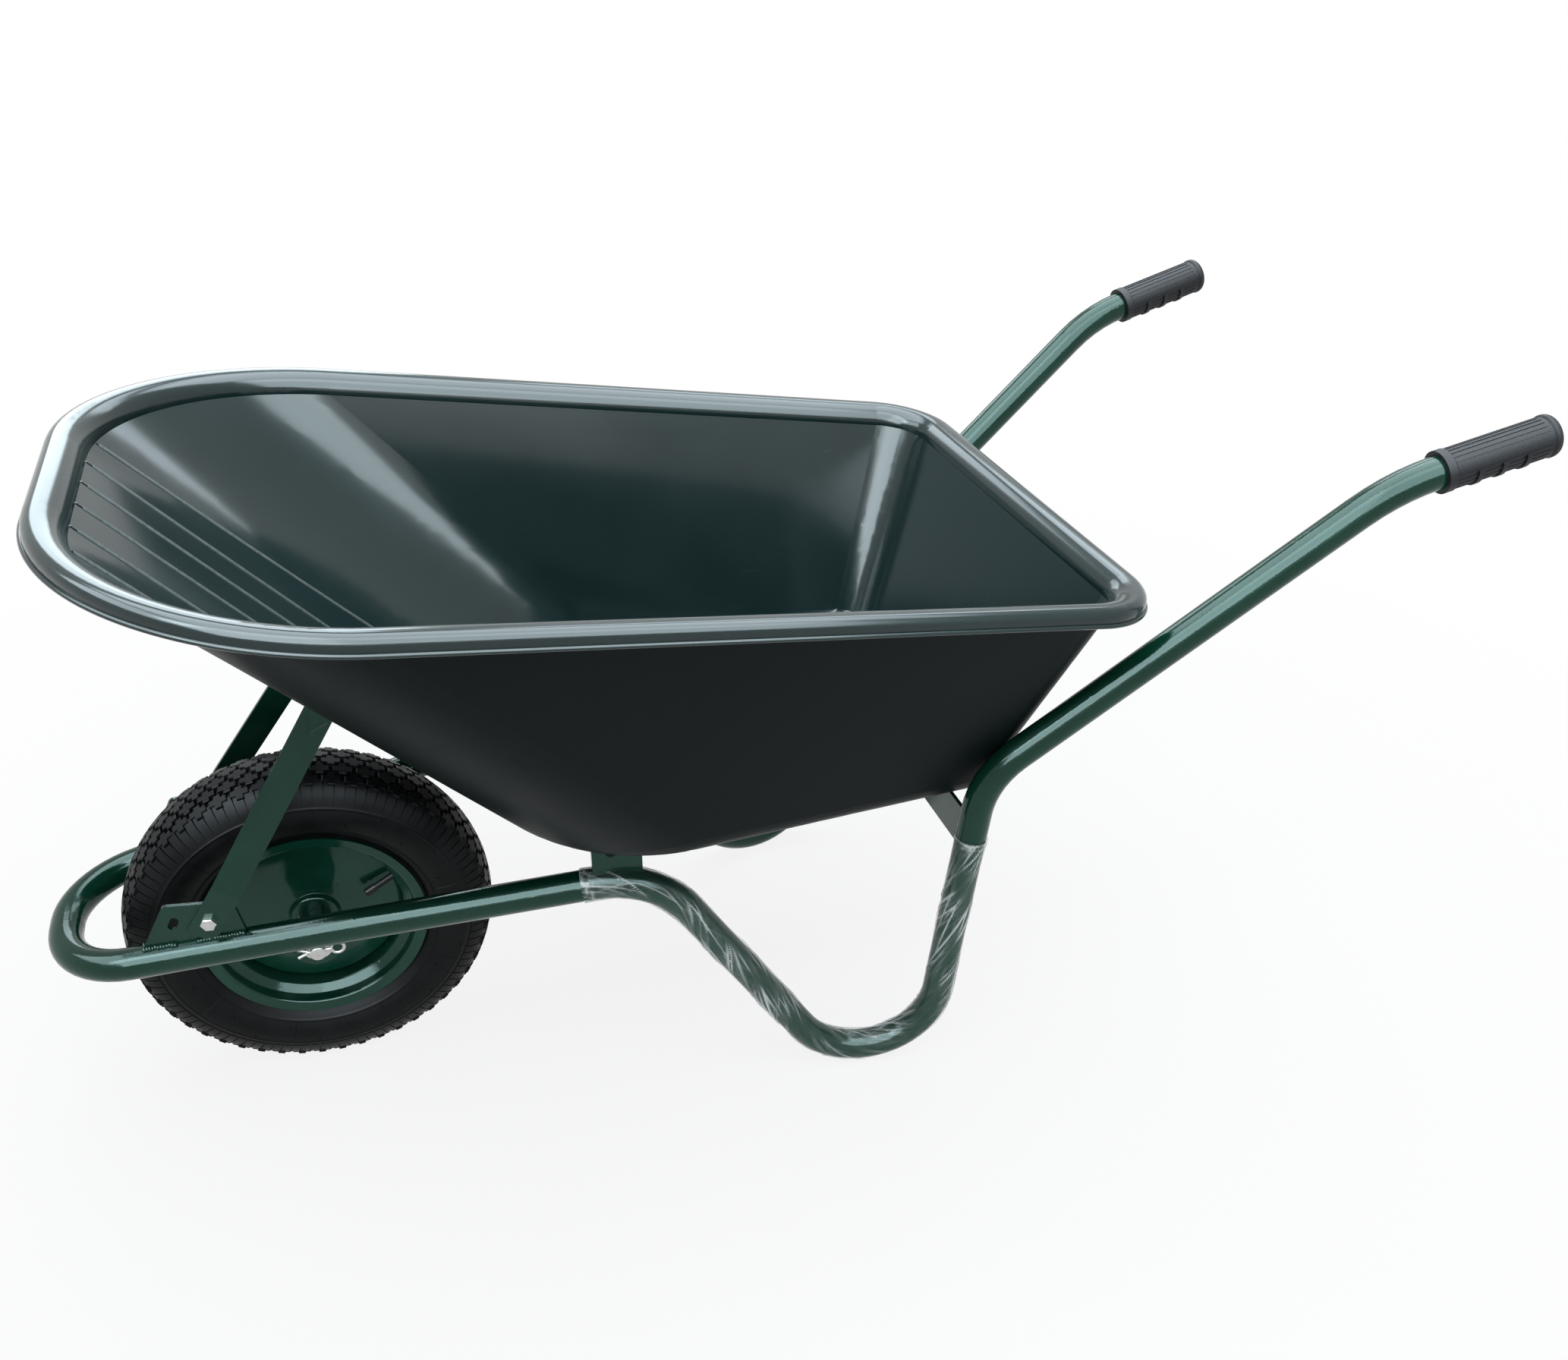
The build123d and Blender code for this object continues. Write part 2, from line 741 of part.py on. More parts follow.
with BuildPart() as split_pins:
    for side in (-1, 1):
        centre = Vector(axle_x, side * pin_across, axle_height)
        shank_plane = Plane(
            origin=centre - Vector(pin_front, 0, 0), x_dir=(0, 1, 0), z_dir=(1, 0, 0)
        )
        eye_plane = Plane(
            origin=centre + Vector(pin_back + pin_eye_radius, 0, 0), z_dir=(0, 1, 0)
        )
        with BuildSketch(shank_plane):
            Circle(pin_diameter / 2)
        extrude(amount=pin_front + pin_back)
        with Locations(eye_plane):
            Torus(pin_eye_radius, pin_eye_wire)
        for turn in (-1, 1):
            lean = radians(pin_leg_spread) * turn
            leg_plane = Plane(
                origin=centre - Vector(pin_front - pin_leg_wire, 0, -turn * pin_leg_wire / 2),
                x_dir=(0, 1, 0),
                z_dir=(-cos(lean), 0, sin(lean)),
            )
            with BuildSketch(leg_plane):
                Circle(pin_leg_wire)
            extrude(amount=pin_leg)

# Tyre: carcass, then rows of cross-shaped blocks cut to the crown
crown_radius = tyre_radius - tread_depth
shoulder = crown_radius - crown_drop
widest = tyre_width / 2
tube_ring_radius = crown_radius - tyre_wall - tube_ring_gap - tube_ring_section

with BuildPart() as crown_room:
    with BuildSketch(wheel_plane):
        with BuildLine():
            ThreePointArc(
                (-crown_half, shoulder + tread_depth),
                (0, tyre_radius),
                (crown_half, shoulder + tread_depth),
            )
            Line((crown_half, shoulder + tread_depth), (crown_half, shoulder - block_root))
            ThreePointArc(
                (crown_half, shoulder - block_root),
                (0, crown_radius - block_root),
                (-crown_half, shoulder - block_root),
            )
            Line((-crown_half, shoulder - block_root), (-crown_half, shoulder + tread_depth))
        make_face()
    revolve(axis=wheel_axis)


def tread_row(across, turn):
    """One row of cross-shaped blocks round the wheel."""
    block_plane = Plane(origin=(axle_x, across, axle_height), x_dir=(1, 0, 0), z_dir=(0, 0, 1))
    with BuildPart() as block:
        with BuildSketch(block_plane.offset(shoulder - tread_depth)):
            Rectangle(block_long, block_wide - 2 * block_notch)
            Rectangle(block_long - 2 * block_notch, block_wide)
        extrude(amount=tyre_radius - shoulder + 2 * tread_depth)
        add(crown_room.part, mode=Mode.INTERSECT)
    step = 360 / block_count
    return [block.part.rotate(wheel_axis, (index + turn) * step) for index in range(block_count)]


tread_blocks = tread_row(0, 0)
tread_blocks += tread_row(-side_row_offset, row_stagger)
tread_blocks += tread_row(side_row_offset, row_stagger)

with BuildPart() as tyre:
    with BuildSketch(wheel_plane):
        with BuildLine():
            ThreePointArc((-crown_half, shoulder), (0, crown_radius), (crown_half, shoulder))
            ThreePointArc(
                (crown_half, shoulder),
                (widest, tyre_widest),
                (bead_half + bead_step, bead_radius + bead_height + bead_rise),
            )
            Polyline(
                (bead_half + bead_step, bead_radius + bead_height + bead_rise),
                (bead_half, bead_radius + bead_height),
                (bead_half, bead_radius),
                (bead_half - tyre_wall, bead_radius),
                (bead_half - tyre_wall, bead_radius + bead_height + bead_step),
            )
            ThreePointArc(
                (bead_half - tyre_wall, bead_radius + bead_height + bead_step),
                (widest - tyre_wall, tyre_widest),
                (crown_half - tyre_wall, shoulder - tyre_wall),
            )
            ThreePointArc(
                (crown_half - tyre_wall, shoulder - tyre_wall),
                (0, crown_radius - tyre_wall),
                (tyre_wall - crown_half, shoulder - tyre_wall),
            )
            ThreePointArc(
                (tyre_wall - crown_half, shoulder - tyre_wall),
                (tyre_wall - widest, tyre_widest),
                (tyre_wall - bead_half, bead_radius + bead_height + bead_step),
            )
            Polyline(
                (tyre_wall - bead_half, bead_radius + bead_height + bead_step),
                (tyre_wall - bead_half, bead_radius),
                (-bead_half, bead_radius),
                (-bead_half, bead_radius + bead_height),
                (-bead_half - bead_step, bead_radius + bead_height + bead_rise),
            )
            ThreePointArc(
                (-bead_half - bead_step, bead_radius + bead_height + bead_rise),
                (-widest, tyre_widest),
                (-crown_half, shoulder),
            )
        make_face()
    revolve(axis=wheel_axis)
    add(tread_blocks)

with BuildPart() as inner_tube:
    with BuildSketch(wheel_plane):
        with Locations((0, tube_ring_radius)):
            Circle(tube_ring_section)
            Circle(tube_ring_section - tube_ring_wall, mode=Mode.SUBTRACT)
    revolve(axis=wheel_axis)

# Valve: a rubber stem leaning out of the rim's well, with its cap
valve_turn = radians(valve_angle)
valve_radial = Vector(cos(valve_turn), 0, sin(valve_turn))
wheel_centre = Vector(axle_x, 0, axle_height)
valve_root = wheel_centre + valve_radial * valve_root_radius - Vector(0, valve_root_offset, 0)
valve_tip = wheel_centre + valve_radial * valve_tip_radius - Vector(0, valve_tip_offset, 0)
valve_along = (valve_tip - valve_root).normalized()
valve_plane = Plane(origin=valve_root, z_dir=valve_along)
valve_length = (valve_tip - valve_root).length

with BuildPart() as valve_stem:
    with BuildSketch(valve_plane):
        Circle(valve_diameter / 2)
    extrude(amount=valve_length - cap_grip)
    with BuildSketch(valve_plane.offset(valve_length - cap_grip)):
        Circle(valve_neck / 2)
    extrude(amount=cap_grip)

with BuildPart() as valve_cap:
    with BuildSketch(valve_plane.offset(valve_length - cap_grip + valve_fit)):
        Circle(cap_diameter / 2)
    extrude(amount=cap_length)
    fillet(
        edges().filter_by(GeomType.CIRCLE).sort_by(Axis(valve_root, valve_along))[-1],
        radius=cap_round,
    )
    with BuildSketch(valve_plane.offset(valve_length - cap_grip)):
        Circle(valve_neck / 2 + valve_fit)
    extrude(amount=cap_grip + 2 * valve_fit, mode=Mode.SUBTRACT)

# Rim, dish and hub
with BuildPart() as wheel_rim:
    with BuildSketch(wheel_plane):
        with BuildLine():
            FilletPolyline(
                (-flange_half, flange_radius),
                (-seat_half, seat_radius),
                (-shelf_half, shelf_radius),
                (-well_half, well_radius),
                (well_half, well_radius),
                (shelf_half, shelf_radius),
                (seat_half, seat_radius),
                (flange_half, flange_radius),
                radius=rim_bend,
            )
        trace(line_width=rim_wall)
    revolve(axis=wheel_axis)
    with BuildSketch(valve_plane):
        Circle(valve_diameter / 2 + valve_fit)
    extrude(amount=valve_length, mode=Mode.SUBTRACT)

dish_outer = well_radius - rim_wall / 2 - dish_wall / 2 - dish_fit

with BuildPart() as wheel_disc:
    with BuildSketch(wheel_plane):
        with BuildLine():
            FilletPolyline(
                (dish_edge, dish_outer),
                (-dish_back, dish_outer),
                (-dish_back, dish_step_outer),
                (-dish_front, dish_step_inner),
                (-dish_front, hub_diameter / 2 + dish_fit),
                radius=dish_bend,
            )
        trace(line_width=dish_wall)
    revolve(axis=wheel_axis)

with BuildPart() as hub:
    with BuildSketch(axle_plane):
        Circle(hub_diameter / 2)
        Circle(hub_bore / 2, mode=Mode.SUBTRACT)
    extrude(amount=hub_half, both=True)

with BuildPart() as bush_left:
    with BuildSketch(axle_plane.offset(hub_half)):
        Circle(bush_flange_diameter / 2)
    extrude(amount=bush_flange)
    with BuildSketch(axle_plane.offset(hub_half - bush_length)):
        Circle(hub_bore / 2 - bush_fit)
    extrude(amount=bush_length)
    with BuildSketch(axle_plane):
        Circle(axle_diameter / 2 + running_fit)
    extrude(amount=axle_half, mode=Mode.SUBTRACT)

with BuildPart() as bush_right:
    mirror(bush_left.part, about=Plane.XZ)

# Fasteners
strut_stack = bracket_thickness + strut_thickness
strut_face = bracket_thickness / 2 + strut_thickness
strut_seat = Plane(
    origin=left_plane.from_local_coords((bolt_along, bolt_height, strut_face)),
    x_dir=left_plane.x_dir,
    z_dir=left_plane.z_dir,
)

with BuildPart() as strut_bolt:
    with BuildSketch(strut_seat.offset(seat_gap)):
        RegularPolygon(strut_bolt_head / 2, 6, major_radius=False)
    extrude(amount=strut_bolt_head_height)
    chamfer(faces().sort_by(Axis.Y)[0].edges(), length=strut_bolt_chamfer)
    with BuildSketch(strut_seat.offset(seat_gap)):
        Circle(strut_bolt_diameter / 2)
    extrude(amount=-(strut_stack + strut_nut_height + strut_bolt_tail))

with BuildPart() as strut_nut:
    with BuildSketch(strut_seat.offset(-strut_stack - seat_gap)):
        RegularPolygon(strut_bolt_head / 2, 6, major_radius=False)
        Circle(strut_bolt_diameter / 2 + seat_gap, mode=Mode.SUBTRACT)
    extrude(amount=-strut_nut_height)

with BuildPart() as strut_bolts:
    add(strut_bolt.part)
    mirror(strut_bolt.part, about=Plane.XZ)

with BuildPart() as strut_nuts:
    add(strut_nut.part)
    mirror(strut_nut.part, about=Plane.XZ)

# Tray bolts: dome heads on the front slope, flush countersunk heads in the floor. Each seat
# is a plane of the tray's outer face, the tray's thickness there and what it is bolted to.
slope_seats = [
    (slope_plane(strut_top_reach, side * flange_bolt_half), slope_thickness, strut_thickness)
    for side in (-1, 1)
]
front_seats = [
    (floor_plane_at(reach, across), floor_wall, front_member_thickness)
    for reach, across in floor_bolt_places[:2]
]
rear_seats = [
    (floor_plane_at(reach, across), floor_wall, rear_member_thickness)
    for reach, across in floor_bolt_places[2:]
]
tray_bolt_seats = slope_seats + front_seats + rear_seats
bolt_below = tray_washer_thickness + tray_nut_height + tray_bolt_tail
floor_head_height = (floor_bolt_head - tray_bolt_diameter) / 2 / tan(radians(floor_bolt_cone))

with BuildPart() as tray_bolts:
    for seat, above, below in slope_seats:
        with BuildSketch(seat.offset(above + seat_gap)):
            Circle(tray_bolt_head / 2)
        extrude(amount=tray_bolt_head_height, taper=tray_bolt_taper)
        with BuildSketch(seat.offset(above + seat_gap)):
            Circle(tray_bolt_diameter / 2)
        extrude(amount=-(above + below + bolt_below))
    for seat, above, below in front_seats + rear_seats:
        with BuildSketch(seat.offset(above - seat_gap)):
            Circle(floor_bolt_head / 2)
        extrude(amount=-floor_head_height, taper=floor_bolt_cone)
        with BuildSketch(seat.offset(above - seat_gap)):
            Circle(tray_bolt_diameter / 2)
        extrude(amount=-(above + below + bolt_below))

with BuildPart() as tray_washers:
    for seat, above, below in tray_bolt_seats:
        with BuildSketch(seat.offset(-below)):
            Circle(tray_washer_diameter / 2)
            Circle(tray_bolt_diameter / 2 + bolt_fit, mode=Mode.SUBTRACT)
        extrude(amount=-tray_washer_thickness)

with BuildPart() as tray_nuts:
    for seat, above, below in tray_bolt_seats:
        with BuildSketch(seat.offset(-below - tray_washer_thickness)):
            RegularPolygon(tray_nut_across / 2, 6, major_radius=False)
            Circle(tray_bolt_diameter / 2 + seat_gap, mode=Mode.SUBTRACT)
        extrude(amount=-tray_nut_height)

frame_tube.part.label = "frame_tube"
export_step(frame_tube.part, "parts/frame_tube.step")
grip_left.part.label = "grip_left"
export_step(grip_left.part, "parts/grip_left.step")
grip_right.part.label = "grip_right"
export_step(grip_right.part, "parts/grip_right.step")
strut_bracket_left.part.label = "strut_bracket_left"
export_step(strut_bracket_left.part, "parts/strut_bracket_left.step")
strut_bracket_right.part.label = "strut_bracket_right"
export_step(strut_bracket_right.part, "parts/strut_bracket_right.step")
tray_strut_left.part.label = "tray_strut_left"
export_step(tray_strut_left.part, "parts/tray_strut_left.step")
tray_strut_right.part.label = "tray_strut_right"
export_step(tray_strut_right.part, "parts/tray_strut_right.step")
strut_bolts.part.label = "strut_bolts"
export_step(strut_bolts.part, "parts/strut_bolts.step")
strut_nuts.part.label = "strut_nuts"
export_step(strut_nuts.part, "parts/strut_nuts.step")
front_cross_member.part.label = "front_cross_member"
export_step(front_cross_member.part, "parts/front_cross_member.step")
rear_cross_member.part.label = "rear_cross_member"
export_step(rear_cross_member.part, "parts/rear_cross_member.step")
tray.part.label = "tray"
export_step(tray.part, "parts/tray.step")
tray_bolts.part.label = "tray_bolts"
export_step(tray_bolts.part, "parts/tray_bolts.step")
tray_washers.part.label = "tray_washers"
export_step(tray_washers.part, "parts/tray_washers.step")
tray_nuts.part.label = "tray_nuts"
export_step(tray_nuts.part, "parts/tray_nuts.step")
axle_bracket_left.part.label = "axle_bracket_left"
export_step(axle_bracket_left.part, "parts/axle_bracket_left.step")
axle_bracket_right.part.label = "axle_bracket_right"
export_step(axle_bracket_right.part, "parts/axle_bracket_right.step")
axle.part.label = "axle"
export_step(axle.part, "parts/axle.step")
axle_washers.part.label = "axle_washers"
export_step(axle_washers.part, "parts/axle_washers.step")
split_pins.part.label = "split_pins"
export_step(split_pins.part, "parts/split_pins.step")
tyre.part.label = "tyre"
export_step(tyre.part, "parts/tyre.step")
inner_tube.part.label = "inner_tube"
export_step(inner_tube.part, "parts/inner_tube.step")
wheel_rim.part.label = "wheel_rim"
export_step(wheel_rim.part, "parts/wheel_rim.step")
wheel_disc.part.label = "wheel_disc"
export_step(wheel_disc.part, "parts/wheel_disc.step")
hub.part.label = "hub"
export_step(hub.part, "parts/hub.step")
bush_left.part.label = "bush_left"
export_step(bush_left.part, "parts/bush_left.step")
bush_right.part.label = "bush_right"
export_step(bush_right.part, "parts/bush_right.step")
valve_stem.part.label = "valve_stem"
export_step(valve_stem.part, "parts/valve_stem.step")
valve_cap.part.label = "valve_cap"
export_step(valve_cap.part, "parts/valve_cap.step")
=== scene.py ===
"""Wheelbarrow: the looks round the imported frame, in metres, with the floor at Z = 0."""

import json
import math

import bmesh
import bpy
from mathutils import Matrix, Vector, noise
from mathutils.bvhtree import BVHTree


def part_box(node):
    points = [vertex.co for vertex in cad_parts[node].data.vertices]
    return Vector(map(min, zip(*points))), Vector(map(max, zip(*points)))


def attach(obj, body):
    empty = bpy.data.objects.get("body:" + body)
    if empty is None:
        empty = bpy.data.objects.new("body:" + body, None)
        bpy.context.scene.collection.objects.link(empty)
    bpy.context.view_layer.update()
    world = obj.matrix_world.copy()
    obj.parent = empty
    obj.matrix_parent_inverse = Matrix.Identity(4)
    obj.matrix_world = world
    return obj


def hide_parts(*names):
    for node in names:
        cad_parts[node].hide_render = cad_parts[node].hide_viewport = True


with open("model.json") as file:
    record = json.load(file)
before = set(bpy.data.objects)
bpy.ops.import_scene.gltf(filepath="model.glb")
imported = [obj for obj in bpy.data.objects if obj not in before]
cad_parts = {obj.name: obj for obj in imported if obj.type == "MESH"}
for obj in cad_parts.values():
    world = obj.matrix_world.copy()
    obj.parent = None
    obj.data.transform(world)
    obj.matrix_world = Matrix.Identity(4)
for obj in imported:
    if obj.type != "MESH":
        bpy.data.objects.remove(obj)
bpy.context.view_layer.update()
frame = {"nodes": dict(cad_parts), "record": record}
nodes = frame["nodes"]

# Places that the CAD gives
axle_low, axle_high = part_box("axle")
AXLE = (axle_low + axle_high) / 2

# Photograph's camera: where it stands from the axle, and its view in a 2066 x 1792 frame
FRAME_WIDTH = 2066
FRAME_HEIGHT = 1792
CAMERA_FROM_AXLE = Vector((0.1027, -1.2094, 0.9381))
CAMERA_RIGHT = Vector((0.948, -0.3173, 0.0223))
CAMERA_BACK = Vector((-0.2764, -0.7871, 0.5515))
FOCAL_PIXELS = 1787.68
CENTRE_PIXELS = (1037.57, 997.35)
SENSOR = 36.0

# Frame tube: the upright plane of each side, and the leg's corners in it as (along, height, bend)
TUBE_RADIUS = 0.016
SIDE_SPREAD = 0.112
SIDE_SPLAY = math.radians(9.54)
RUN_HEIGHT = 0.242
RUN_SLOPE = math.tan(math.radians(6.7))
FRONT_BEND = (0.3366, 0.28154, 0.100)
FOOT = (0.62146, -0.13919, 0.082)
REAR_BEND = (0.66588, 0.3685, 0.095)
HANDLE_BEND = (1.02313, 0.65987, 0.180)

# Tray: the rim's plane, which falls towards the rear, and a point high over the tray's middle
RIM_FRONT = AXLE + Vector((-0.1423, 0.0, 0.505))
RIM_PITCH = math.radians(7.46)
OVER_TRAY = AXLE + Vector((0.40, 0.0, 1.00))
LIP_DEPTH = 0.0205
LIP_BLEND = 0.004

# Tray rim, in its own plane: length, half widths and corner rounds, and the bead under the lip
RIM_LONG = 0.94822
RIM_HALF_FRONT = 0.3277
RIM_HALF_REAR = 0.2874
RIM_FRONT_ROUND = 0.2393
RIM_REAR_ROUND = 0.0776
LIP_BEAD_DROP = 0.0146
LIP_BEAD_OUT = 0.0004
LIP_BEAD_SIZE = 0.0022

# Raised lines down the tray's front slope: places across, where they start behind the rim's front
# edge and end behind the axle's line, and how far aside and from what height the slope is felt for
SLOPE_LINES = (-0.120, -0.072, -0.024, 0.024, 0.072, 0.120)
SLOPE_LINE_TOP = 0.0335
SLOPE_LINE_END = 0.165
SLOPE_LINE_SIZE = 0.0020
SLOPE_LINE_SUNK = 0.00055
SLOPE_LINE_STEPS = 36
SLOPE_LINE_ASIDE = 0.004
SLOPE_LINE_ABOVE = 1.0

# Tyre section, as (across the wheel, out from the axle)
CROWN_RADIUS = 0.181
CROWN_HALF = 0.031
CROWN_DROP = 0.006
WIDEST = (0.044, 0.146)
SIDE_FOOT = (0.037, 0.1208)
BEAD_OUTER = (0.0325, 0.1145)
BEAD_FOOT = (0.0325, 0.105)
BEAD_INNER = (0.0265, 0.105)
TYRE_WALL = 0.006
INNER_FOOT = 0.119
TYRE_STEPS = 160

# Tread: rows of crosses, then bars over the shoulder, fine rings, mould lines and vent nubs
CROSS_COUNT = 52
CROSS_ROWS = (-0.026, -0.013, 0.0, 0.013, 0.026)
CROSS_LONG = 0.0093
CROSS_HALF = 0.0077
CROSS_ARM = 0.0036
CROSS_ROOT = 0.0012
CROSS_ROOT_WIDER = 1.04
CROSS_RISE = 0.0034
CROSS_EDGE = 0.0006
BAR_COUNT = 104
BAR_WIDTH = 0.0097
BAR_RISE = 0.0026
BAR_FOOT_RISE = 0.0005
BAR_START = 0.0262
BAR_FOOT = 0.1555
BAR_ROOT = 0.0008
BAR_ROOT_WIDER = 1.06
BAR_FALL = 0.6
BAR_SKIP = 4
BAR_TURN = 0.25
RING_RADII = (0.1535, 0.1250)
RING_RISE = 0.0008
RING_WIDTH = 0.0009
MOULD_LINE_COUNT = 9
MOULD_LINE_REACH = (0.127, 0.152)
MOULD_LINE_HALF = 0.0005
MOULD_LINE_ROOT = 0.0003
MOULD_LINE_RISE = 0.0004
MOULD_LINE_SKIP = 5
MOULD_LINE_TURN = 0.3
NUB_COUNT = 14
NUB_RADII = (0.1495, 0.1355)
NUB_WIDTH = 0.0011
NUB_RISE = 0.0022
NUB_CORNERS = 6
NUB_TURN = 0.2
# A nub from root to tip, as (height, share of its width)
NUB_LEVELS = ((-0.0005, 1.2), (NUB_RISE * 0.5, 0.8), (NUB_RISE, 0.5))

# Wheel disc, as (across, out from the axle, bend), and its sheet
DISC_PATH = (
    (0.009, 0.0896, 0.0),
    (-0.004, 0.0896, 0.005),
    (-0.0105, 0.034, 0.020),
    (-0.0105, 0.0258, 0.002),
    (-0.0165, 0.0225, 0.0025),
    (-0.0165, 0.0166, 0.0),
)
DISC_SHEET = 0.0022
DISC_STEPS = 120

# Axle brackets, as (across, above the axle, bend), with the plate and its half widths
AXLE_BRACKET_PATH = ((0.103, 0.0475, 0.0), (0.064, 0.026, 0.010), (0.064, -0.0238, 0.0))
AXLE_PLATE = 0.004
AXLE_PLATE_HALF = 0.032
AXLE_PLATE_ROUND = 0.024
AXLE_PLATE_STEP = 0.001
AXLE_PLATE_COLUMNS = 9
AXLE_PLATE_LEAST = 1e-6

# Welds, as runs along the tube in metres from the axle's line
WELD_PITCH = 0.0026
WELD_SIZE = 0.0030
BRACKET_WELDS = ((-0.153, -0.124), (-0.102, -0.060))
BRACKET_HALF = 0.002
WELD_BESIDE = 0.0012
WELD_LIFT = 0.0006
WELD_WANDER = 0.0005
WELD_WAVES = 90
WELD_STEPS = 6
WELD_SEED = 4

# Stretch film on the left leg: where the leg's axis and the film start along the side plane,
# the height where the film ends on the rear of the leg, and its skin
LEG_AXIS_START = -0.1
FILM_START = 0.263
FILM_END_HEIGHT = 0.299
FILM_CLEAR = 0.0007
FILM_STEP = 0.0024
FILM_SIDES = 132
FILM_CREASE = 0.0010
FILM_GATHER = 0.011
FILM_FLOOR = 0.0002
# Streaks in the film, as (twist per metre, lines round the tube, breaks per metre, strength)
FILM_STREAKS = (
    (22.0, 7.5, 9.0, 1.0),
    (36.0, 10.5, 13.0, 0.9),
    (9.0, 6.0, 12.0, 0.8),
    (-14.0, 8.0, 16.0, 0.3),
)
# Streaks start at a level of the noise, reach full strength over a span and sharpen by a power
STREAK_LEVEL = 0.08
STREAK_SPAN = 0.42
STREAK_POWER = 1.5
# Noise in the film, as (waves along, waves round): bare patches, end pleats and slack
PATCH_WAVES = (17, 0.8)
PATCH_SHIFT = 2.0
PATCH_LEAST = 0.1
PATCH_MIDDLE = 0.5
PATCH_SWING = 1.6
PLEAT_WAVES = (420, 1.5)
PLEAT_MIDDLE = 0.45
PLEAT_SWING = 1.2
SLACK_WAVES = (24, 1.4)
SLACK_SIZE = 0.0004

# Studio: floor's reach, dim world, and where the floor's shadow fades into the white backdrop
FLOOR_REACH = 12.0
FLOOR_GREY = 0.86
FLOOR_FADE = (0.7, 1.7, 0.86, 1.0)
WORLD_TINT = (0.86, 0.93, 1.0, 1.0)
WORLD_LEVEL = 0.18
WHITE = (1.0, 1.0, 1.0, 1.0)
LAMP_TINT = (0.95, 0.98, 1.0)
FAR_SKY = (0.78, 0.92, 1.0)
NEAR_SKY = (0.80, 0.94, 1.0)
# Cards that gloss alone sees, as (name, place, aim, size, brightness, tint)
CARDS = (
    ("far_left_card", (-0.62, 4.2, 2.6), (-0.62, 0.0, 2.6), (1.75, 2.0), 5.7, FAR_SKY),
    ("far_right_card", (2.7, 4.2, 3.8), (2.7, 0.0, 3.8), (3.4, 1.6), 5.5, FAR_SKY),
    ("top_card", (0.2, 1.3, 4.6), (0.2, 1.3, 0.0), (6.0, 4.0), 6.5, FAR_SKY),
    ("near_left_card", (-2.15, -2.45, 3.05), (-2.15, -0.33, 0.01), (3.7, 4.0), 11.7, NEAR_SKY),
    ("near_right_card", (0.95, -2.45, 3.05), (0.95, -0.33, 0.01), (2.5, 4.0), 8.7, NEAR_SKY),
    ("left_card", (-3.4, 0.0, 3.45), (-0.6, 0.0, 0.25), (4.0, 1.8), 8.0, NEAR_SKY),
)


def photograph_camera():
    data = bpy.data.cameras.new("photograph")
    data.sensor_fit = "HORIZONTAL"
    data.sensor_width = SENSOR
    data.lens = FOCAL_PIXELS / FRAME_WIDTH * SENSOR
    data.shift_x = (FRAME_WIDTH / 2 - CENTRE_PIXELS[0]) / FRAME_WIDTH
    data.shift_y = (CENTRE_PIXELS[1] - FRAME_HEIGHT / 2) / FRAME_WIDTH
    camera = bpy.data.objects.new("photograph", data)
    bpy.context.scene.collection.objects.link(camera)
    back = CAMERA_BACK.normalized()
    right = (CAMERA_RIGHT - back * CAMERA_RIGHT.dot(back)).normalized()
    up = back.cross(right)
    turn = Matrix((right, up, back)).transposed().to_4x4()
    camera.matrix_world = Matrix.Translation(AXLE + CAMERA_FROM_AXLE) @ turn
    bpy.context.scene.camera = camera


photograph_camera()


# Finishes
class Nodes:
    """Adds nodes to a tree, with their sockets set or linked by name."""

    def join(self, value, socket):
        if isinstance(value, bpy.types.NodeSocket):
            self.tree.links.new(value, socket)
        else:
            socket.default_value = value

    def fill(self, node, **sockets):
        for name, value in sockets.items():
            self.join(value, node.inputs[name.replace("_", " ")])
        return node

    def add(self, kind, **sockets):
        return self.fill(self.tree.nodes.new(kind), **sockets)

    def worked(self, kind, operation, first, second):
        node = self.add(kind)
        node.operation = operation
        self.join(first, node.inputs[0])
        self.join(second, node.inputs[1])
        return node.outputs

    def maths(self, operation, first, second=0.0):
        return self.worked("ShaderNodeMath", operation, first, second)["Value"]


class Finish(Nodes):
    """A Principled material whose nodes are added by name, on Object coordinates."""

    def __init__(self, name):
        self.material = bpy.data.materials.new(name)
        self.material.use_nodes = True
        self.tree = self.material.node_tree
        self.shader = self.tree.nodes["Principled BSDF"]
        self.place = self.add("ShaderNodeTexCoord").outputs["Object"]

    def set(self, **sockets):
        self.fill(self.shader, **sockets)

    def noise(self, scale, detail=3.0, roughness=0.5, vector=None):
        return self.add(
            "ShaderNodeTexNoise",
            Vector=vector or self.place,
            Scale=scale,
            Detail=detail,
            Roughness=roughness,
        ).outputs["Fac"]

    def span(self, value, low, high, new_low, new_high):
        return self.add(
            "ShaderNodeMapRange",
            Value=value,
            From_Min=low,
            From_Max=high,
            To_Min=new_low,
            To_Max=new_high,
        ).outputs["Result"]

    def between(self, factor, first, second):
        node = self.tree.nodes.new("ShaderNodeMix")
        node.data_type = "RGBA"
        self.join(factor, node.inputs["Factor"])
        for socket, colour in ((node.inputs["A"], first), (node.inputs["B"], second)):
            self.join((*colour, 1.0) if isinstance(colour, tuple) else colour, socket)
        return node.outputs["Result"]

    def bump(self, height, strength, distance):
        node = self.add("ShaderNodeBump", Height=height, Strength=strength, Distance=distance)
        return node.outputs["Normal"]

    def vectors(self, operation, first, second):
        outputs = self.worked("ShaderNodeVectorMath", operation, first, second)
        return outputs["Value" if operation == "DOT_PRODUCT" else "Vector"]


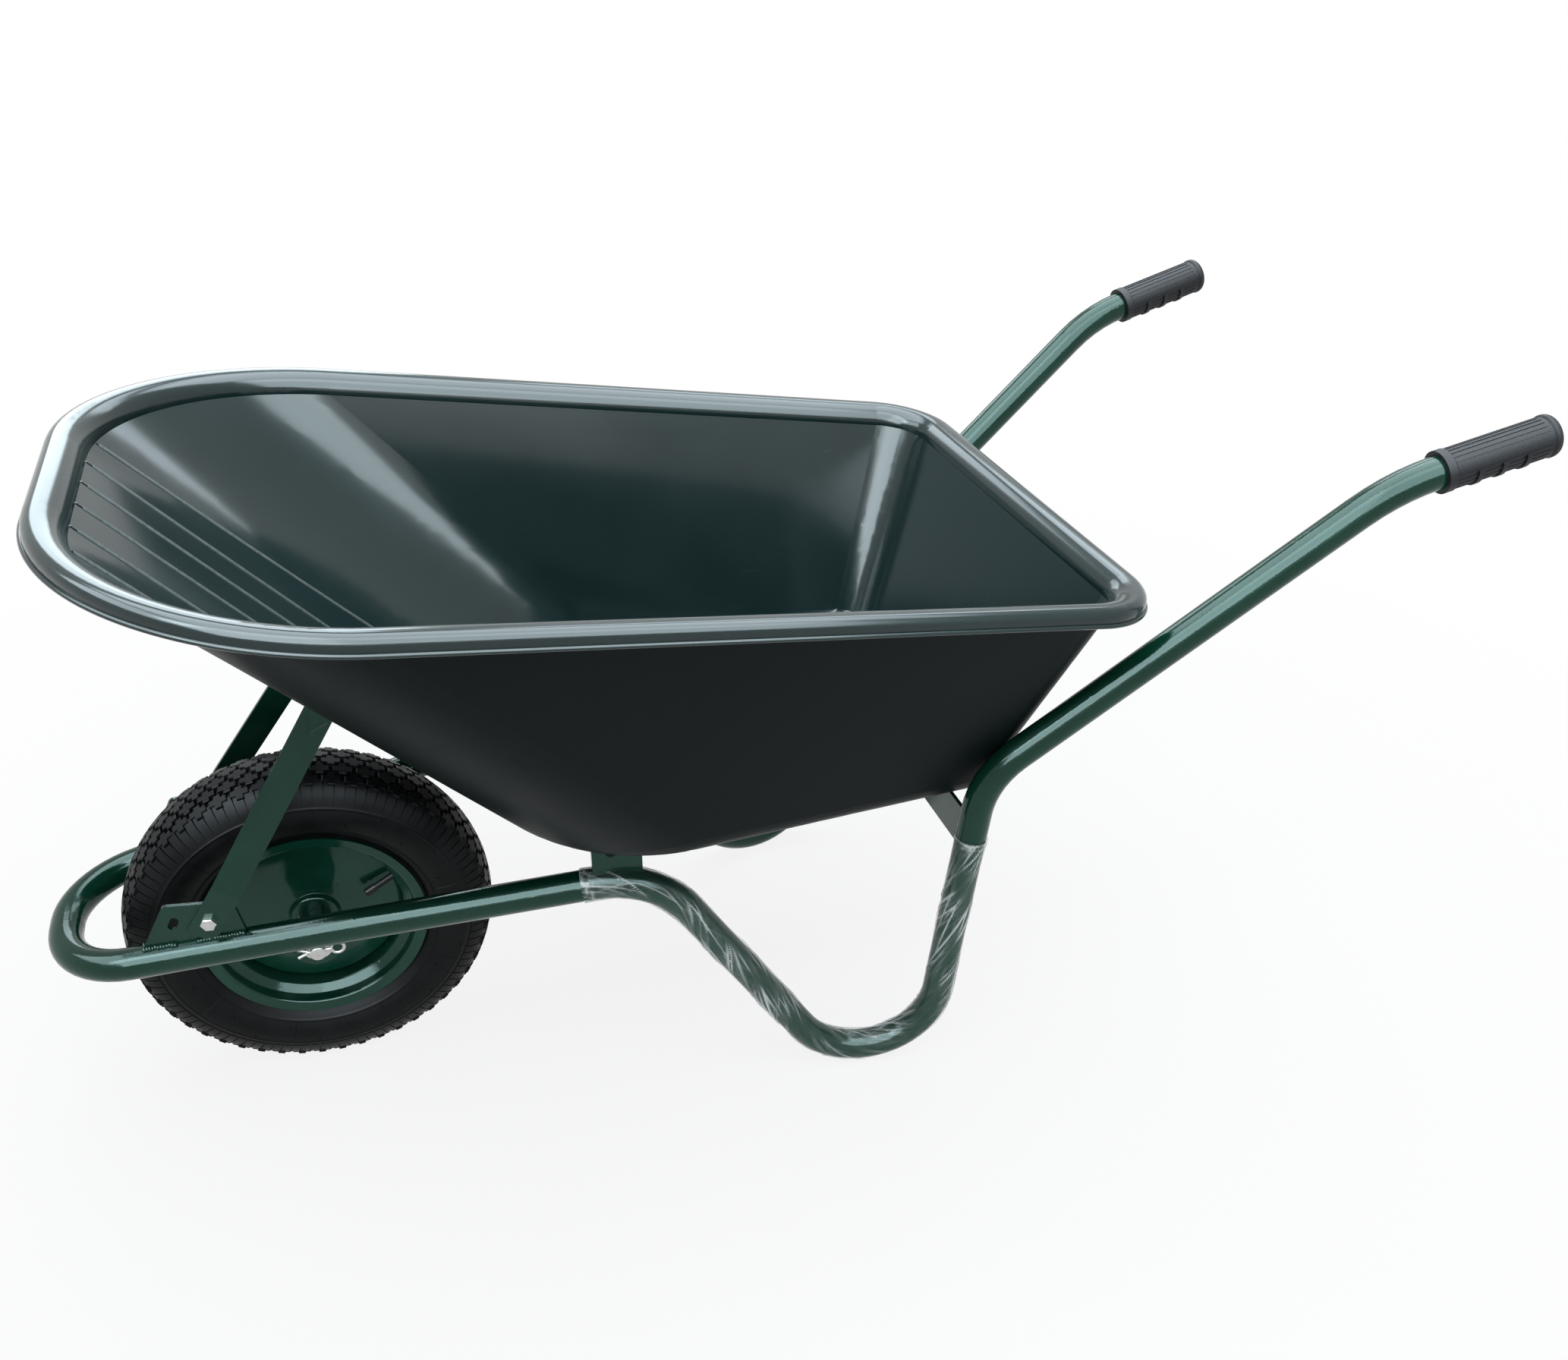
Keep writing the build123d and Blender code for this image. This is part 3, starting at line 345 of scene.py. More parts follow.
def gloss_paint(name, colour, worn):
    """Stoved enamel: slight mottle, orange peel and a few specks."""
    finish = Finish(name)
    mottle = finish.noise(18.0, 4.0)
    peel = finish.noise(420.0, 2.0)
    specks = finish.span(finish.noise(95.0, 1.0), 0.70, 0.76, 0.0, 1.6)
    finish.set(
        Base_Color=finish.between(finish.span(mottle, 0.35, 0.7, 0.0, 1.0), colour, worn),
        Roughness=finish.span(finish.noise(60.0, 5.0), 0.3, 0.7, 0.07, 0.16),
        Normal=finish.bump(finish.maths("ADD", peel, specks), 0.08, 0.0008),
        IOR=1.36,
        Specular_Tint=(0.80, 1.0, 0.97, 1.0),
    )
    return finish.material


def tray_plastic():
    """Moulded plastic: glossy inside and on the lip, duller outside, with haze and rubbed scuffs. The
    outside's darker colour is painted shade.
    """
    finish = Finish("tray_plastic")
    normal = finish.tree.nodes.new("ShaderNodeNewGeometry").outputs["Normal"]
    from_over = finish.vectors("SUBTRACT", finish.place, tuple(OVER_TRAY))
    faces_out = finish.span(finish.vectors("DOT_PRODUCT", from_over, normal), -0.02, 0.02, 0.0, 1.0)
    from_rim = finish.vectors("SUBTRACT", finish.place, tuple(RIM_FRONT))
    rim_up = (math.sin(RIM_PITCH), 0.0, math.cos(RIM_PITCH))
    above = finish.vectors("DOT_PRODUCT", from_rim, rim_up)
    below_lip = finish.span(above, -LIP_DEPTH, -LIP_DEPTH + LIP_BLEND, 1.0, 0.0)
    outside = finish.maths("MULTIPLY", faces_out, below_lip)

    haze = finish.noise(7.0, 5.0, 0.6)
    stretched = finish.add("ShaderNodeMapping", Vector=finish.place, Scale=(3.0, 40.0, 12.0))
    scratches = finish.noise(9.0, 6.0, 0.7, stretched.outputs["Vector"])
    scuff = finish.span(scratches, 0.62, 0.78, 0.0, 1.0)
    moulded = finish.between(haze, (0.0085, 0.027, 0.028), (0.0135, 0.036, 0.037))
    rubbed = finish.between(scuff, moulded, (0.024, 0.046, 0.047))
    # The outside's darker colour is painted shade: the outer walls face down, away from the light
    shaded_outside = finish.between(haze, (0.0032, 0.0064, 0.0065), (0.0048, 0.0088, 0.0088))
    gloss = finish.span(haze, 0.3, 0.7, 0.14, 0.27)
    finish.set(
        Base_Color=finish.between(outside, rubbed, shaded_outside),
        Roughness=finish.maths("ADD", gloss, finish.maths("MULTIPLY", outside, 0.22)),
        Normal=finish.bump(finish.noise(420.0, 2.0), 0.05, 0.0006),
        IOR=1.17,
        Coat_Weight=finish.span(outside, 0.0, 1.0, 0.69, 0.0),
        Coat_Roughness=0.14,
    )
    return finish.material


def tyre_rubber():
    finish = Finish("tyre_rubber")
    dust = finish.noise(22.0, 6.0, 0.65)
    finish.set(
        Base_Color=finish.between(
            finish.span(dust, 0.35, 0.75, 0.0, 1.0), (0.0024, 0.0027, 0.0031), (0.0056, 0.0060, 0.0067)
        ),
        Roughness=finish.span(dust, 0.3, 0.7, 0.36, 0.52),
        Normal=finish.bump(finish.noise(700.0, 2.0), 0.12, 0.0006),
        IOR=1.2,
    )
    return finish.material


def grip_rubber():
    finish = Finish("grip_rubber")
    grain = finish.noise(900.0, 2.0)
    finish.set(
        Base_Color=finish.between(
            finish.noise(40.0, 4.0), (0.0055, 0.0060, 0.0080), (0.0110, 0.0118, 0.0150)
        ),
        Roughness=finish.span(grain, 0.3, 0.7, 0.42, 0.58),
        Normal=finish.bump(grain, 0.12, 0.0005),
        IOR=1.34,
    )
    return finish.material


def zinc_plate():
    finish = Finish("zinc_plate")
    blotch = finish.noise(150.0, 5.0, 0.6)
    finish.set(
        Base_Color=finish.between(blotch, (0.38, 0.38, 0.37), (0.58, 0.58, 0.56)),
        Metallic=1.0,
        Roughness=finish.span(blotch, 0.3, 0.7, 0.22, 0.42),
    )
    return finish.material


def plain_moulding(name, dark, light, roughness, index=1.45):
    finish = Finish(name)
    grain = finish.noise(300.0, 3.0)
    finish.set(
        Base_Color=finish.between(grain, dark, light),
        Roughness=finish.span(grain, 0.3, 0.7, roughness - 0.08, roughness + 0.08),
        Normal=finish.bump(grain, 0.06, 0.0004),
        IOR=index,
    )
    return finish.material


def stretch_film():
    """Clear film: a thin veil over the paint, and white where it is creased, a painted highlight on the
    creases.
    """
    finish = Finish("stretch_film")
    crease = finish.tree.nodes.new("ShaderNodeAttribute")
    crease.attribute_name = "crease"
    crease_highlight = crease.outputs["Fac"]
    veil = finish.noise(34.0, 4.0, 0.6)
    finish.set(
        # White on the creases is a painted highlight, standing in for the glints of the creased film
        Base_Color=finish.between(crease_highlight, (0.30, 0.40, 0.36), (0.86, 0.92, 0.90)),
        Roughness=finish.span(veil, 0.3, 0.7, 0.08, 0.2),
        Alpha=finish.maths(
            "ADD", finish.span(veil, 0.35, 0.7, 0.05, 0.15), finish.maths("MULTIPLY", crease_highlight, 0.8)
        ),
    )
    return finish.material


FINISHES = {
    "frame_paint": gloss_paint("frame_paint", (0.0034, 0.044, 0.0245), (0.0060, 0.056, 0.0330)),
    # The wheel's green is lighter than the frame's: painted light that lifts the disc where it sits in
    # shade under the tray
    "wheel_paint": gloss_paint("wheel_paint", (0.0066, 0.060, 0.0365), (0.0100, 0.073, 0.0460)),
    "tray_plastic": tray_plastic(),
    "grip": grip_rubber(),
    "tyre": tyre_rubber(),
    "air_tube": plain_moulding("air_tube_rubber", (0.012, 0.012, 0.012), (0.02, 0.02, 0.02), 0.6),
    "zinc": zinc_plate(),
    "black_steel": plain_moulding("black_steel", (0.008, 0.008, 0.008), (0.016, 0.016, 0.016), 0.35),
    "bush": plain_moulding("bush_nylon", (0.5, 0.5, 0.47), (0.62, 0.61, 0.58), 0.5),
    "valve_rubber": plain_moulding("valve_rubber", (0.004, 0.004, 0.005), (0.008, 0.008, 0.009), 0.4, 1.25),
    "valve_cap": plain_moulding("valve_cap", (0.004, 0.004, 0.005), (0.009, 0.009, 0.010), 0.35, 1.3),
}
FILM = stretch_film()
# The slope lines' pale colour is a painted highlight, standing in for the light caught along each raised
# line
PAINTED_LINE_HIGHLIGHT = plain_moulding("rubbed_lines", (0.085, 0.115, 0.117), (0.150, 0.185, 0.188), 0.32)

for part in frame["record"]["subparts"]:
    mesh = nodes[part["node"]].data
    mesh.materials.clear()
    mesh.materials.append(FINISHES[part["material_slot"]])


# Making of the pieces
def placed(name, mesh, material, body, sharp_degrees=40.0):
    """A finished piece: smooth but for its sharp edges, on its body."""
    mesh.name = name
    mesh.materials.clear()
    mesh.materials.append(material)
    for face in mesh.polygons:
        face.use_smooth = True
        face.material_index = 0
    mesh.set_sharp_from_angle(angle=math.radians(sharp_degrees))
    piece = bpy.data.objects.new(name, mesh)
    bpy.context.scene.collection.objects.link(piece)
    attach(piece, body)
    return piece


def made(name, verts, faces=(), edges=()):
    mesh = bpy.data.meshes.new(name)
    mesh.from_pydata(verts, edges, faces)
    return mesh


def joined(*meshes, ready=()):
    """One mesh of several, with faces turned outwards. Those of ready meshes already point that way."""
    shape = bmesh.new()
    for mesh in meshes:
        shape.from_mesh(mesh)
    bmesh.ops.recalc_face_normals(shape, faces=shape.faces)
    for mesh in ready:
        shape.from_mesh(mesh)
    for mesh in (*meshes, *ready):
        bpy.data.meshes.remove(mesh)
    result = bpy.data.meshes.new("joined")
    shape.to_mesh(result)
    shape.free()
    return result


def rounded(corners, steps, closed=False):
    """Points along (x, y, bend) corners, with an arc of so many steps at each bend."""
    points = []
    for number, (x, y, bend) in enumerate(corners):
        here = Vector((x, y))
        at_end = not closed and number == len(corners) - 1
        if bend == 0.0 or at_end:
            points.append(here)
            continue
        back = (Vector(corners[number - 1][:2]) - here).normalized()
        ahead = (Vector(corners[(number + 1) % len(corners)][:2]) - here).normalized()
        half = back.angle(ahead) / 2
        centre = here + (back + ahead).normalized() * bend / math.sin(half)
        arm = here + back * bend / math.tan(half) - centre
        swing = math.pi - 2 * half
        if back.x * ahead.y - back.y * ahead.x > 0:
            swing = -swing
        for step in range(steps + 1):
            turn = swing * step / steps
            cosine, sine = math.cos(turn), math.sin(turn)
            points.append(centre + Vector((arm.x * cosine - arm.y * sine, arm.x * sine + arm.y * cosine)))
    return points


def even_points(points, step):
    """Points a step apart along a path, with the path's direction at each."""
    result, left = [], 0.0
    for first, second in zip(points, points[1:]):
        length = (second - first).length
        run = (second - first) / length
        while left <= length:
            result.append((first + run * left, run))
            left += step
        left -= length
    return result


def sheet_sides(points, thickness):
    """The two faces of a bent sheet, as points at half its thickness either side of its middle."""
    left, right = [], []
    for number, spot in enumerate(points):
        run = (points[min(number + 1, len(points) - 1)] - points[max(number - 1, 0)]).normalized()
        away = Vector((-run.y, run.x)) * thickness / 2
        left.append(spot + away)
        right.append(spot - away)
    return left, right


def turned(name, section, steps):
    """A closed (across, out) section turned round the axle."""
    verts, faces = [], []
    for step in range(steps):
        angle = math.tau * step / steps
        for across, out in section:
            verts.append(AXLE + Vector((out * math.cos(angle), across, out * math.sin(angle))))
    size = len(section)
    for step in range(steps):
        here, there = step * size, (step + 1) % steps * size
        for number in range(size):
            after = (number + 1) % size
            faces.append((here + number, here + after, there + after, there + number))
    return made(name, verts, faces)


class Growth(Nodes):
    """A Geometry Nodes tree with named inputs, which ends in Realize Instances and Set Material."""

    def __init__(self, name, **inputs):
        self.tree = bpy.data.node_groups.new(name, "GeometryNodeTree")
        sockets = self.tree.interface
        sockets.new_socket("Geometry", in_out="INPUT", socket_type="NodeSocketGeometry")
        self.identifiers = {
            label: sockets.new_socket(label, in_out="INPUT", socket_type="NodeSocket" + kind).identifier
            for label, kind in {**inputs, "Finish": "Material"}.items()
        }
        sockets.new_socket("Geometry", in_out="OUTPUT", socket_type="NodeSocketGeometry")
        self.given = self.tree.nodes.new("NodeGroupInput").outputs

    def end(self, instances):
        real = self.add("GeometryNodeRealizeInstances", Geometry=instances)
        finished = self.add(
            "GeometryNodeSetMaterial", Geometry=real.outputs["Geometry"], Material=self.given["Finish"]
        )
        self.add("NodeGroupOutput", Geometry=finished.outputs["Geometry"])

    def grow(self, start, **values):
        """The plain mesh that the tree makes from a start mesh."""
        carrier = bpy.data.objects.new(self.tree.name, start)
        bpy.context.scene.collection.objects.link(carrier)
        modifier = carrier.modifiers.new(self.tree.name, "NODES")
        modifier.node_group = self.tree
        for label, value in values.items():
            modifier[self.identifiers[label]] = value
        graph = bpy.context.evaluated_depsgraph_get()
        result = bpy.data.meshes.new_from_object(carrier.evaluated_get(graph))
        carrier.modifiers.remove(modifier)
        bpy.data.objects.remove(carrier)
        return result


def bead_along():
    """A round bead along the start mesh's edges."""
    growth = Growth("bead_along", Size="Float", Sides="Int")
    given = growth.given
    path = growth.add("GeometryNodeMeshToCurve", Mesh=given["Geometry"])
    ring = growth.add("GeometryNodeCurvePrimitiveCircle", Resolution=given["Sides"], Radius=given["Size"])
    bead = growth.add(
        "GeometryNodeCurveToMesh",
        Curve=path.outputs["Curve"],
        Profile_Curve=ring.outputs["Curve"],
        Fill_Caps=True,
    )
    growth.end(bead.outputs["Mesh"])
    return growth


def beads(name, points, edges, size, finish):
    """A piece on the tray: round beads along the edges between points."""
    start = made("start", points, edges=edges)
    mesh = BEAD.grow(start, Size=size, Sides=12, Finish=finish)
    bpy.data.meshes.remove(start)
    piece = placed(name, joined(mesh), finish, "frame", sharp_degrees=60.0)


BEAD = bead_along()


def ring_of_copies():
    """Copies of one shape, evenly round the wheel's axis."""
    sizes = {label: "Float" for label in ("Radius", "Across", "Tilt", "Turn")}
    growth = Growth("ring_of_copies", Copy="Object", Count="Int", **sizes)
    given = growth.given
    points = growth.add("GeometryNodeMeshLine", Count=given["Count"], Offset=(0.0, 0.0, 0.0))
    index = growth.tree.nodes.new("GeometryNodeInputIndex").outputs["Index"]
    step = growth.maths("DIVIDE", math.tau, given["Count"])
    angle = growth.maths("MULTIPLY", growth.maths("ADD", index, given["Turn"]), step)
    place = growth.add(
        "ShaderNodeCombineXYZ",
        X=growth.maths("MULTIPLY", growth.maths("COSINE", angle), given["Radius"]),
        Y=given["Across"],
        Z=growth.maths("MULTIPLY", growth.maths("SINE", angle), given["Radius"]),
    )
    turned_points = growth.add(
        "GeometryNodeSetPosition", Geometry=points.outputs["Mesh"], Position=place.outputs["Vector"]
    )
    lean = growth.add(
        "ShaderNodeCombineXYZ", X=given["Tilt"], Y=growth.maths("SUBTRACT", math.pi / 2, angle), Z=0.0
    )
    turn = growth.add("FunctionNodeEulerToRotation", Euler=lean.outputs["Vector"])
    shape = growth.add("GeometryNodeObjectInfo", Object=given["Copy"])
    copies = growth.add(
        "GeometryNodeInstanceOnPoints",
        Points=turned_points.outputs["Geometry"],
        Instance=shape.outputs["Geometry"],
        Rotation=turn.outputs["Rotation"],
    )
    growth.end(copies.outputs["Instances"])
    return growth


RING = ring_of_copies()


def round_wheel(copy_mesh, count, radius=0.0, across=0.0, tilt=0.0, turn=0.0):
    copy = bpy.data.objects.new("copy", copy_mesh)
    bpy.context.scene.collection.objects.link(copy)
    start = bpy.data.meshes.new("start")
    result = RING.grow(
        start,
        Copy=copy,
        Count=count,
        Radius=radius,
        Across=across,
        Tilt=tilt,
        Turn=turn,
        Finish=FINISHES["tyre"],
    )
    bpy.data.objects.remove(copy)
    bpy.data.meshes.remove(start)
    result.transform(Matrix.Translation(AXLE))
    return result


def arc_through(first, middle, last, steps):
    """Points of the arc through three points of a section, both ends with it."""
    (ax, ay), (bx, by), (cx, cy) = first, middle, last
    double = 2 * (ax * (by - cy) + bx * (cy - ay) + cx * (ay - by))
    squares = [ax * ax + ay * ay, bx * bx + by * by, cx * cx + cy * cy]
    mx = (squares[0] * (by - cy) + squares[1] * (cy - ay) + squares[2] * (ay - by)) / double
    my = (squares[0] * (cx - bx) + squares[1] * (ax - cx) + squares[2] * (bx - ax)) / double
    radius = math.hypot(ax - mx, ay - my)
    start = math.atan2(ay - my, ax - mx)
    sweep = (math.atan2(cy - my, cx - mx) - start) % math.tau
    if (math.atan2(by - my, bx - mx) - start) % math.tau > sweep:
        sweep -= math.tau
    angles = [start + sweep * step / steps for step in range(steps + 1)]
    return [(mx + radius * math.cos(angle), my + radius * math.sin(angle)) for angle in angles]


SHOULDER = (CROWN_HALF, CROWN_RADIUS - CROWN_DROP)
SIDE_ARC = arc_through(SHOULDER, WIDEST, SIDE_FOOT, steps=60)


def side_normals(points):
    normals = []
    for number in range(len(points)):
        before = points[max(number - 1, 0)]
        after = points[min(number + 1, len(points) - 1)]
        run = Vector((after[0] - before[0], after[1] - before[1])).normalized()
        normals.append((-run.y, run.x) if run.y < 0 else (run.y, -run.x))
    return normals


def side_at(radius):
    """The sidewall's point and outward direction at a distance from the axle."""
    best = min(range(len(SIDE_ARC)), key=lambda number: abs(SIDE_ARC[number][1] - radius))
    return SIDE_ARC[best], side_normals(SIDE_ARC)[best]


def carcass():
    """The tyre without its tread: crown, sidewalls with fine rings, beads and the inner wall."""
    half = arc_through((0.0, CROWN_RADIUS), arc_middle(), SHOULDER, steps=14)
    for (across, out), (lean, rise) in zip(SIDE_ARC[1:], side_normals(SIDE_ARC)[1:]):
        swell = sum(RING_RISE * math.exp(-(((out - ring) / RING_WIDTH) ** 2)) for ring in RING_RADII)
        half.append((across + lean * swell, out + rise * swell))
    half += [BEAD_OUTER, BEAD_FOOT, BEAD_INNER]
    inner_top = (CROWN_HALF - TYRE_WALL, SHOULDER[1] - TYRE_WALL)
    inner_widest = (WIDEST[0] - TYRE_WALL, WIDEST[1])
    half += arc_through((BEAD_INNER[0], INNER_FOOT), inner_widest, inner_top, steps=12)
    half.append((0.0, CROWN_RADIUS - TYRE_WALL))
    section = half + [(-across, out) for across, out in reversed(half[1:-1])]
    return turned("carcass", section, TYRE_STEPS)


def crown_curve():
    return (CROWN_HALF**2 + CROWN_DROP**2) / (2 * CROWN_DROP)


def crown_at(across):
    """The crown's radius and its lean at a distance from the wheel's middle."""
    curve = crown_curve()
    return CROWN_RADIUS - curve + math.sqrt(curve**2 - across**2), math.asin(across / curve)


def arc_middle():
    across = CROWN_HALF / 2
    return across, crown_at(across)[0]


def prism(outline, levels):
    """An outline raised through (height, inset scale) levels, closed above."""
    verts = [(x * scale, y * scale, height) for height, scale in levels for x, y in outline]
    size = len(outline)
    faces = []
    for level in range(len(levels) - 1):
        for number in range(size):
            after = (number + 1) % size
            low, high = level * size, (level + 1) * size
            faces.append((low + number, low + after, high + after, high + number))
    top = (len(levels) - 1) * size
    faces.append(tuple(range(top, top + size)))
    return made("prism", verts, faces)


def cross_block():
    long, half, arm = CROSS_LONG, CROSS_HALF, CROSS_ARM
    quarter = [(long, -arm), (long, arm), (arm, arm), (arm, half)]
    outline = quarter + [(-x, y) for x, y in reversed(quarter[1:])]
    outline += [(-x, -y) for x, y in quarter[1:]] + [(x, -y) for x, y in reversed(quarter[2:])]
    inset = 1 - CROSS_EDGE / CROSS_HALF
    root = (-CROSS_ROOT, CROSS_ROOT_WIDER)
    return prism(outline, (root, (CROSS_RISE - CROSS_EDGE, 1.0), (CROSS_RISE, inset)))


def shoulder_bar(side):
    """A bar between the outer crosses, which runs out down the sidewall."""
    spots = []
    for across in (BAR_START, CROWN_HALF):
        out, lean = crown_at(across)
        spots.append(((across, out), (math.sin(lean), math.cos(lean))))
    normals = side_normals(SIDE_ARC)
    for number in range(BAR_SKIP, len(SIDE_ARC), BAR_SKIP):
        if SIDE_ARC[number][1] >= BAR_FOOT:
            spots.append((SIDE_ARC[number], normals[number]))
    verts, faces = [], []
    for order, ((across, out), (lean, rise)) in enumerate(spots):
        share = order / (len(spots) - 1)
        lift = BAR_RISE + (BAR_FOOT_RISE - BAR_RISE) * share**BAR_FALL
        half = BAR_WIDTH / 2 * out / CROWN_RADIUS
        root = half * BAR_ROOT_WIDER
        for edge, height in ((-root, -BAR_ROOT), (-half, lift), (half, lift), (root, -BAR_ROOT)):
            verts.append((edge, side * (across + lean * height), out + rise * height))
    for order in range(len(spots) - 1):
        for edge in range(3):
            low = order * 4 + edge
            faces.append((low, low + 1, low + 5, low + 4))
    last = (len(spots) - 1) * 4
    faces += [(0, 1, 2, 3), (last, last + 1, last + 2, last + 3)]
    return made("shoulder_bar", verts, faces)


def vent_nub(side, radius):
    """A moulding vent's stub on the sidewall."""
    (across, out), (lean, rise) = side_at(radius)
    foot = Vector((0.0, side * across, out))
    up = Vector((0.0, side * lean, rise))
    beside = up.cross(Vector((1.0, 0.0, 0.0)))
    verts, faces = [], []
    for height, width in NUB_LEVELS:
        for corner in range(NUB_CORNERS):
            angle = math.tau * corner / NUB_CORNERS
            reach = NUB_WIDTH / 2 * width
            spot = Vector((reach * math.cos(angle), 0, 0)) + beside * reach * math.sin(angle)
            verts.append(foot + up * height + spot)
    for level in range(len(NUB_LEVELS) - 1):
        low, high = level * NUB_CORNERS, (level + 1) * NUB_CORNERS
        for corner in range(NUB_CORNERS):
            after = (corner + 1) % NUB_CORNERS
            faces.append((low + corner, low + after, high + after, high + corner))
    faces.append(tuple(range(len(verts) - NUB_CORNERS, len(verts))))
    return made("vent_nub", verts, faces)


def mould_line(side):
    """A hair-thin raised line across the sidewall, where the mould's parts met."""
    low, high = MOULD_LINE_REACH
    picked = [number for number, spot in enumerate(SIDE_ARC) if low <= spot[1] <= high]
    picked = picked[::MOULD_LINE_SKIP]
    edges = (
        (-MOULD_LINE_HALF, -MOULD_LINE_ROOT),
        (0.0, MOULD_LINE_RISE),
        (MOULD_LINE_HALF, -MOULD_LINE_ROOT),
    )
    normals = side_normals(SIDE_ARC)
    verts, faces = [], []
    for number in picked:
        (across, out), (lean, rise) = SIDE_ARC[number], normals[number]
        for edge, height in edges:
            verts.append((edge, side * (across + lean * height), out + rise * height))
    for order in range(len(picked) - 1):
        for edge in range(2):
            low = order * 3 + edge
            faces.append((low, low + 1, low + 4, low + 3))
    return made("mould_line", verts, faces)


def dressed_tyre():
    shapes, crosses = [carcass()], []
    for row, across in enumerate(CROSS_ROWS):
        radius, lean = crown_at(across)
        crosses.append(round_wheel(cross_block(), CROSS_COUNT, radius, across, -lean, row % 2 / 2))
    for side in (-1, 1):
        shapes.append(round_wheel(shoulder_bar(side), BAR_COUNT, turn=BAR_TURN))
        shapes.append(round_wheel(mould_line(side), MOULD_LINE_COUNT, turn=MOULD_LINE_TURN))
        for number, radius in enumerate(NUB_RADII):
            turn = NUB_TURN + number / 2
            shapes.append(round_wheel(vent_nub(side, radius), NUB_COUNT, turn=turn))
    mesh = joined(*shapes, ready=crosses)
    tyre = placed("tyre_dressed", mesh, FINISHES["tyre"], "wheel", sharp_degrees=32.0)
    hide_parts("tyre")


dressed_tyre()


def dressed_disc():
    """The pressed disc: a shallow cone from the rim's well to a collar round the hub."""
    left, right = sheet_sides(rounded(DISC_PATH, steps=8), DISC_SHEET)
    section = left + right[::-1]
    mesh = turned("disc", section, DISC_STEPS)
    disc = placed("wheel_disc_dressed", joined(mesh), FINISHES["wheel_paint"], "wheel")
    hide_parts("wheel_disc")


def axle_bracket(side, name):
    """A plate from the tube's inner side, bent down to a round end at the axle."""
    path = [spot for spot, run in even_points(rounded(AXLE_BRACKET_PATH, steps=10), AXLE_PLATE_STEP)]
    columns = AXLE_PLATE_COLUMNS
    verts, faces = [], []
    for face in sheet_sides(path, AXLE_PLATE):
        for middle, (across, above) in zip(path, face):
            half = AXLE_PLATE_HALF
            if middle.y < AXLE_BRACKET_PATH[1][1]:
                share = max(middle.y, 0.0) / AXLE_BRACKET_PATH[1][1]
                half = AXLE_PLATE_ROUND + (AXLE_PLATE_HALF - AXLE_PLATE_ROUND) * share
            if middle.y < 0:
                half = math.sqrt(max(AXLE_PLATE_ROUND**2 - middle.y**2, AXLE_PLATE_LEAST))
            for column in range(columns):
                along = half * (2 * column / (columns - 1) - 1)
                verts.append(AXLE + Vector((along, side * across, above)))
    size = len(path) * columns
    for row in range(len(path) - 1):
        for column in range(columns - 1):
            low = row * columns + column
            corners = (low, low + 1, low + columns + 1, low + columns)
            faces += [corners, tuple(size + corner for corner in reversed(corners))]
        for low in (row * columns, row * columns + columns - 1):
            faces.append((low, low + columns, size + low + columns, size + low))
    for low in [*range(columns - 1), *range(size - columns, size - 1)]:
        faces.append((low, low + 1, size + low + 1, size + low))
    mesh = made("plate", verts, faces)
    plate = placed(name + "_dressed", joined(mesh), FINISHES["frame_paint"], "frame")
    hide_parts(name)


dressed_disc()
axle_bracket(-1, "axle_bracket_left")
axle_bracket(1, "axle_bracket_right")


# Frame: places on its side planes
def side_point(along, height, side):
    """A point of a side's upright plane: side is -1 on the left and 1 on the right."""
    across = SIDE_SPREAD + along * math.sin(SIDE_SPLAY)
    return Vector((AXLE.x + along * math.cos(SIDE_SPLAY), side * across, height))


def run_height(along):
    return RUN_HEIGHT + along * RUN_SLOPE


def weld_bead():
    """Ripples of weld metal along the start mesh's edges."""
    growth = Growth("weld_bead", Pitch="Float", Size="Float", Seed="Int")
    given = growth.given
    curve = growth.add("GeometryNodeMeshToCurve", Mesh=given["Geometry"])
    points = growth.add("GeometryNodeCurveToPoints")
    points.mode = "LENGTH"
    growth.fill(points, Curve=curve.outputs["Curve"], Length=given["Pitch"])
    ripple = growth.add("GeometryNodeMeshUVSphere", Segments=10, Rings=6, Radius=given["Size"])
    uneven = growth.tree.nodes.new("FunctionNodeRandomValue")
    uneven.data_type = "FLOAT_VECTOR"
    uneven.inputs["Min"].default_value = (0.8, 0.8, 0.6)
    uneven.inputs["Max"].default_value = (1.2, 1.15, 0.85)
    growth.join(given["Seed"], uneven.inputs["Seed"])
    copies = growth.add(
        "GeometryNodeInstanceOnPoints",
        Points=points.outputs["Points"],
        Instance=ripple.outputs["Mesh"],
        Rotation=points.outputs["Rotation"],
        Scale=uneven.outputs["Value"],
    )
    growth.end(copies.outputs["Instances"])
    return growth


def welds():
    """Beads where the strut brackets stand on the tube, on both faces of each plate."""
    verts, edges = [], []
    for side in (-1, 1):
        outward = Vector((0.0, side, 0.0))
        for face in (-1, 1):
            offset = face * (BRACKET_HALF + WELD_BESIDE)
            above_axis = math.sqrt(TUBE_RADIUS**2 - offset**2)
            for start, end in BRACKET_WELDS:
                for step in range(WELD_STEPS + 1):
                    along = start + (end - start) * step / WELD_STEPS
                    wave = noise.noise(Vector((along * WELD_WAVES, side * 3.0, face * 5.0)))
                    height = run_height(along) + above_axis + WELD_LIFT + WELD_WANDER * wave
                    verts.append(side_point(along, height, side) + outward * offset)
                    if step:
                        edges.append((len(verts) - 2, len(verts) - 1))
    start = made("weld_lines", verts, edges=edges)
    paint = FINISHES["frame_paint"]
    mesh = weld_bead().grow(start, Pitch=WELD_PITCH, Size=WELD_SIZE, Seed=WELD_SEED, Finish=paint)
    bpy.data.meshes.remove(start)
    piece = placed("weld_beads", mesh, paint, "frame", sharp_degrees=60.0)


welds()


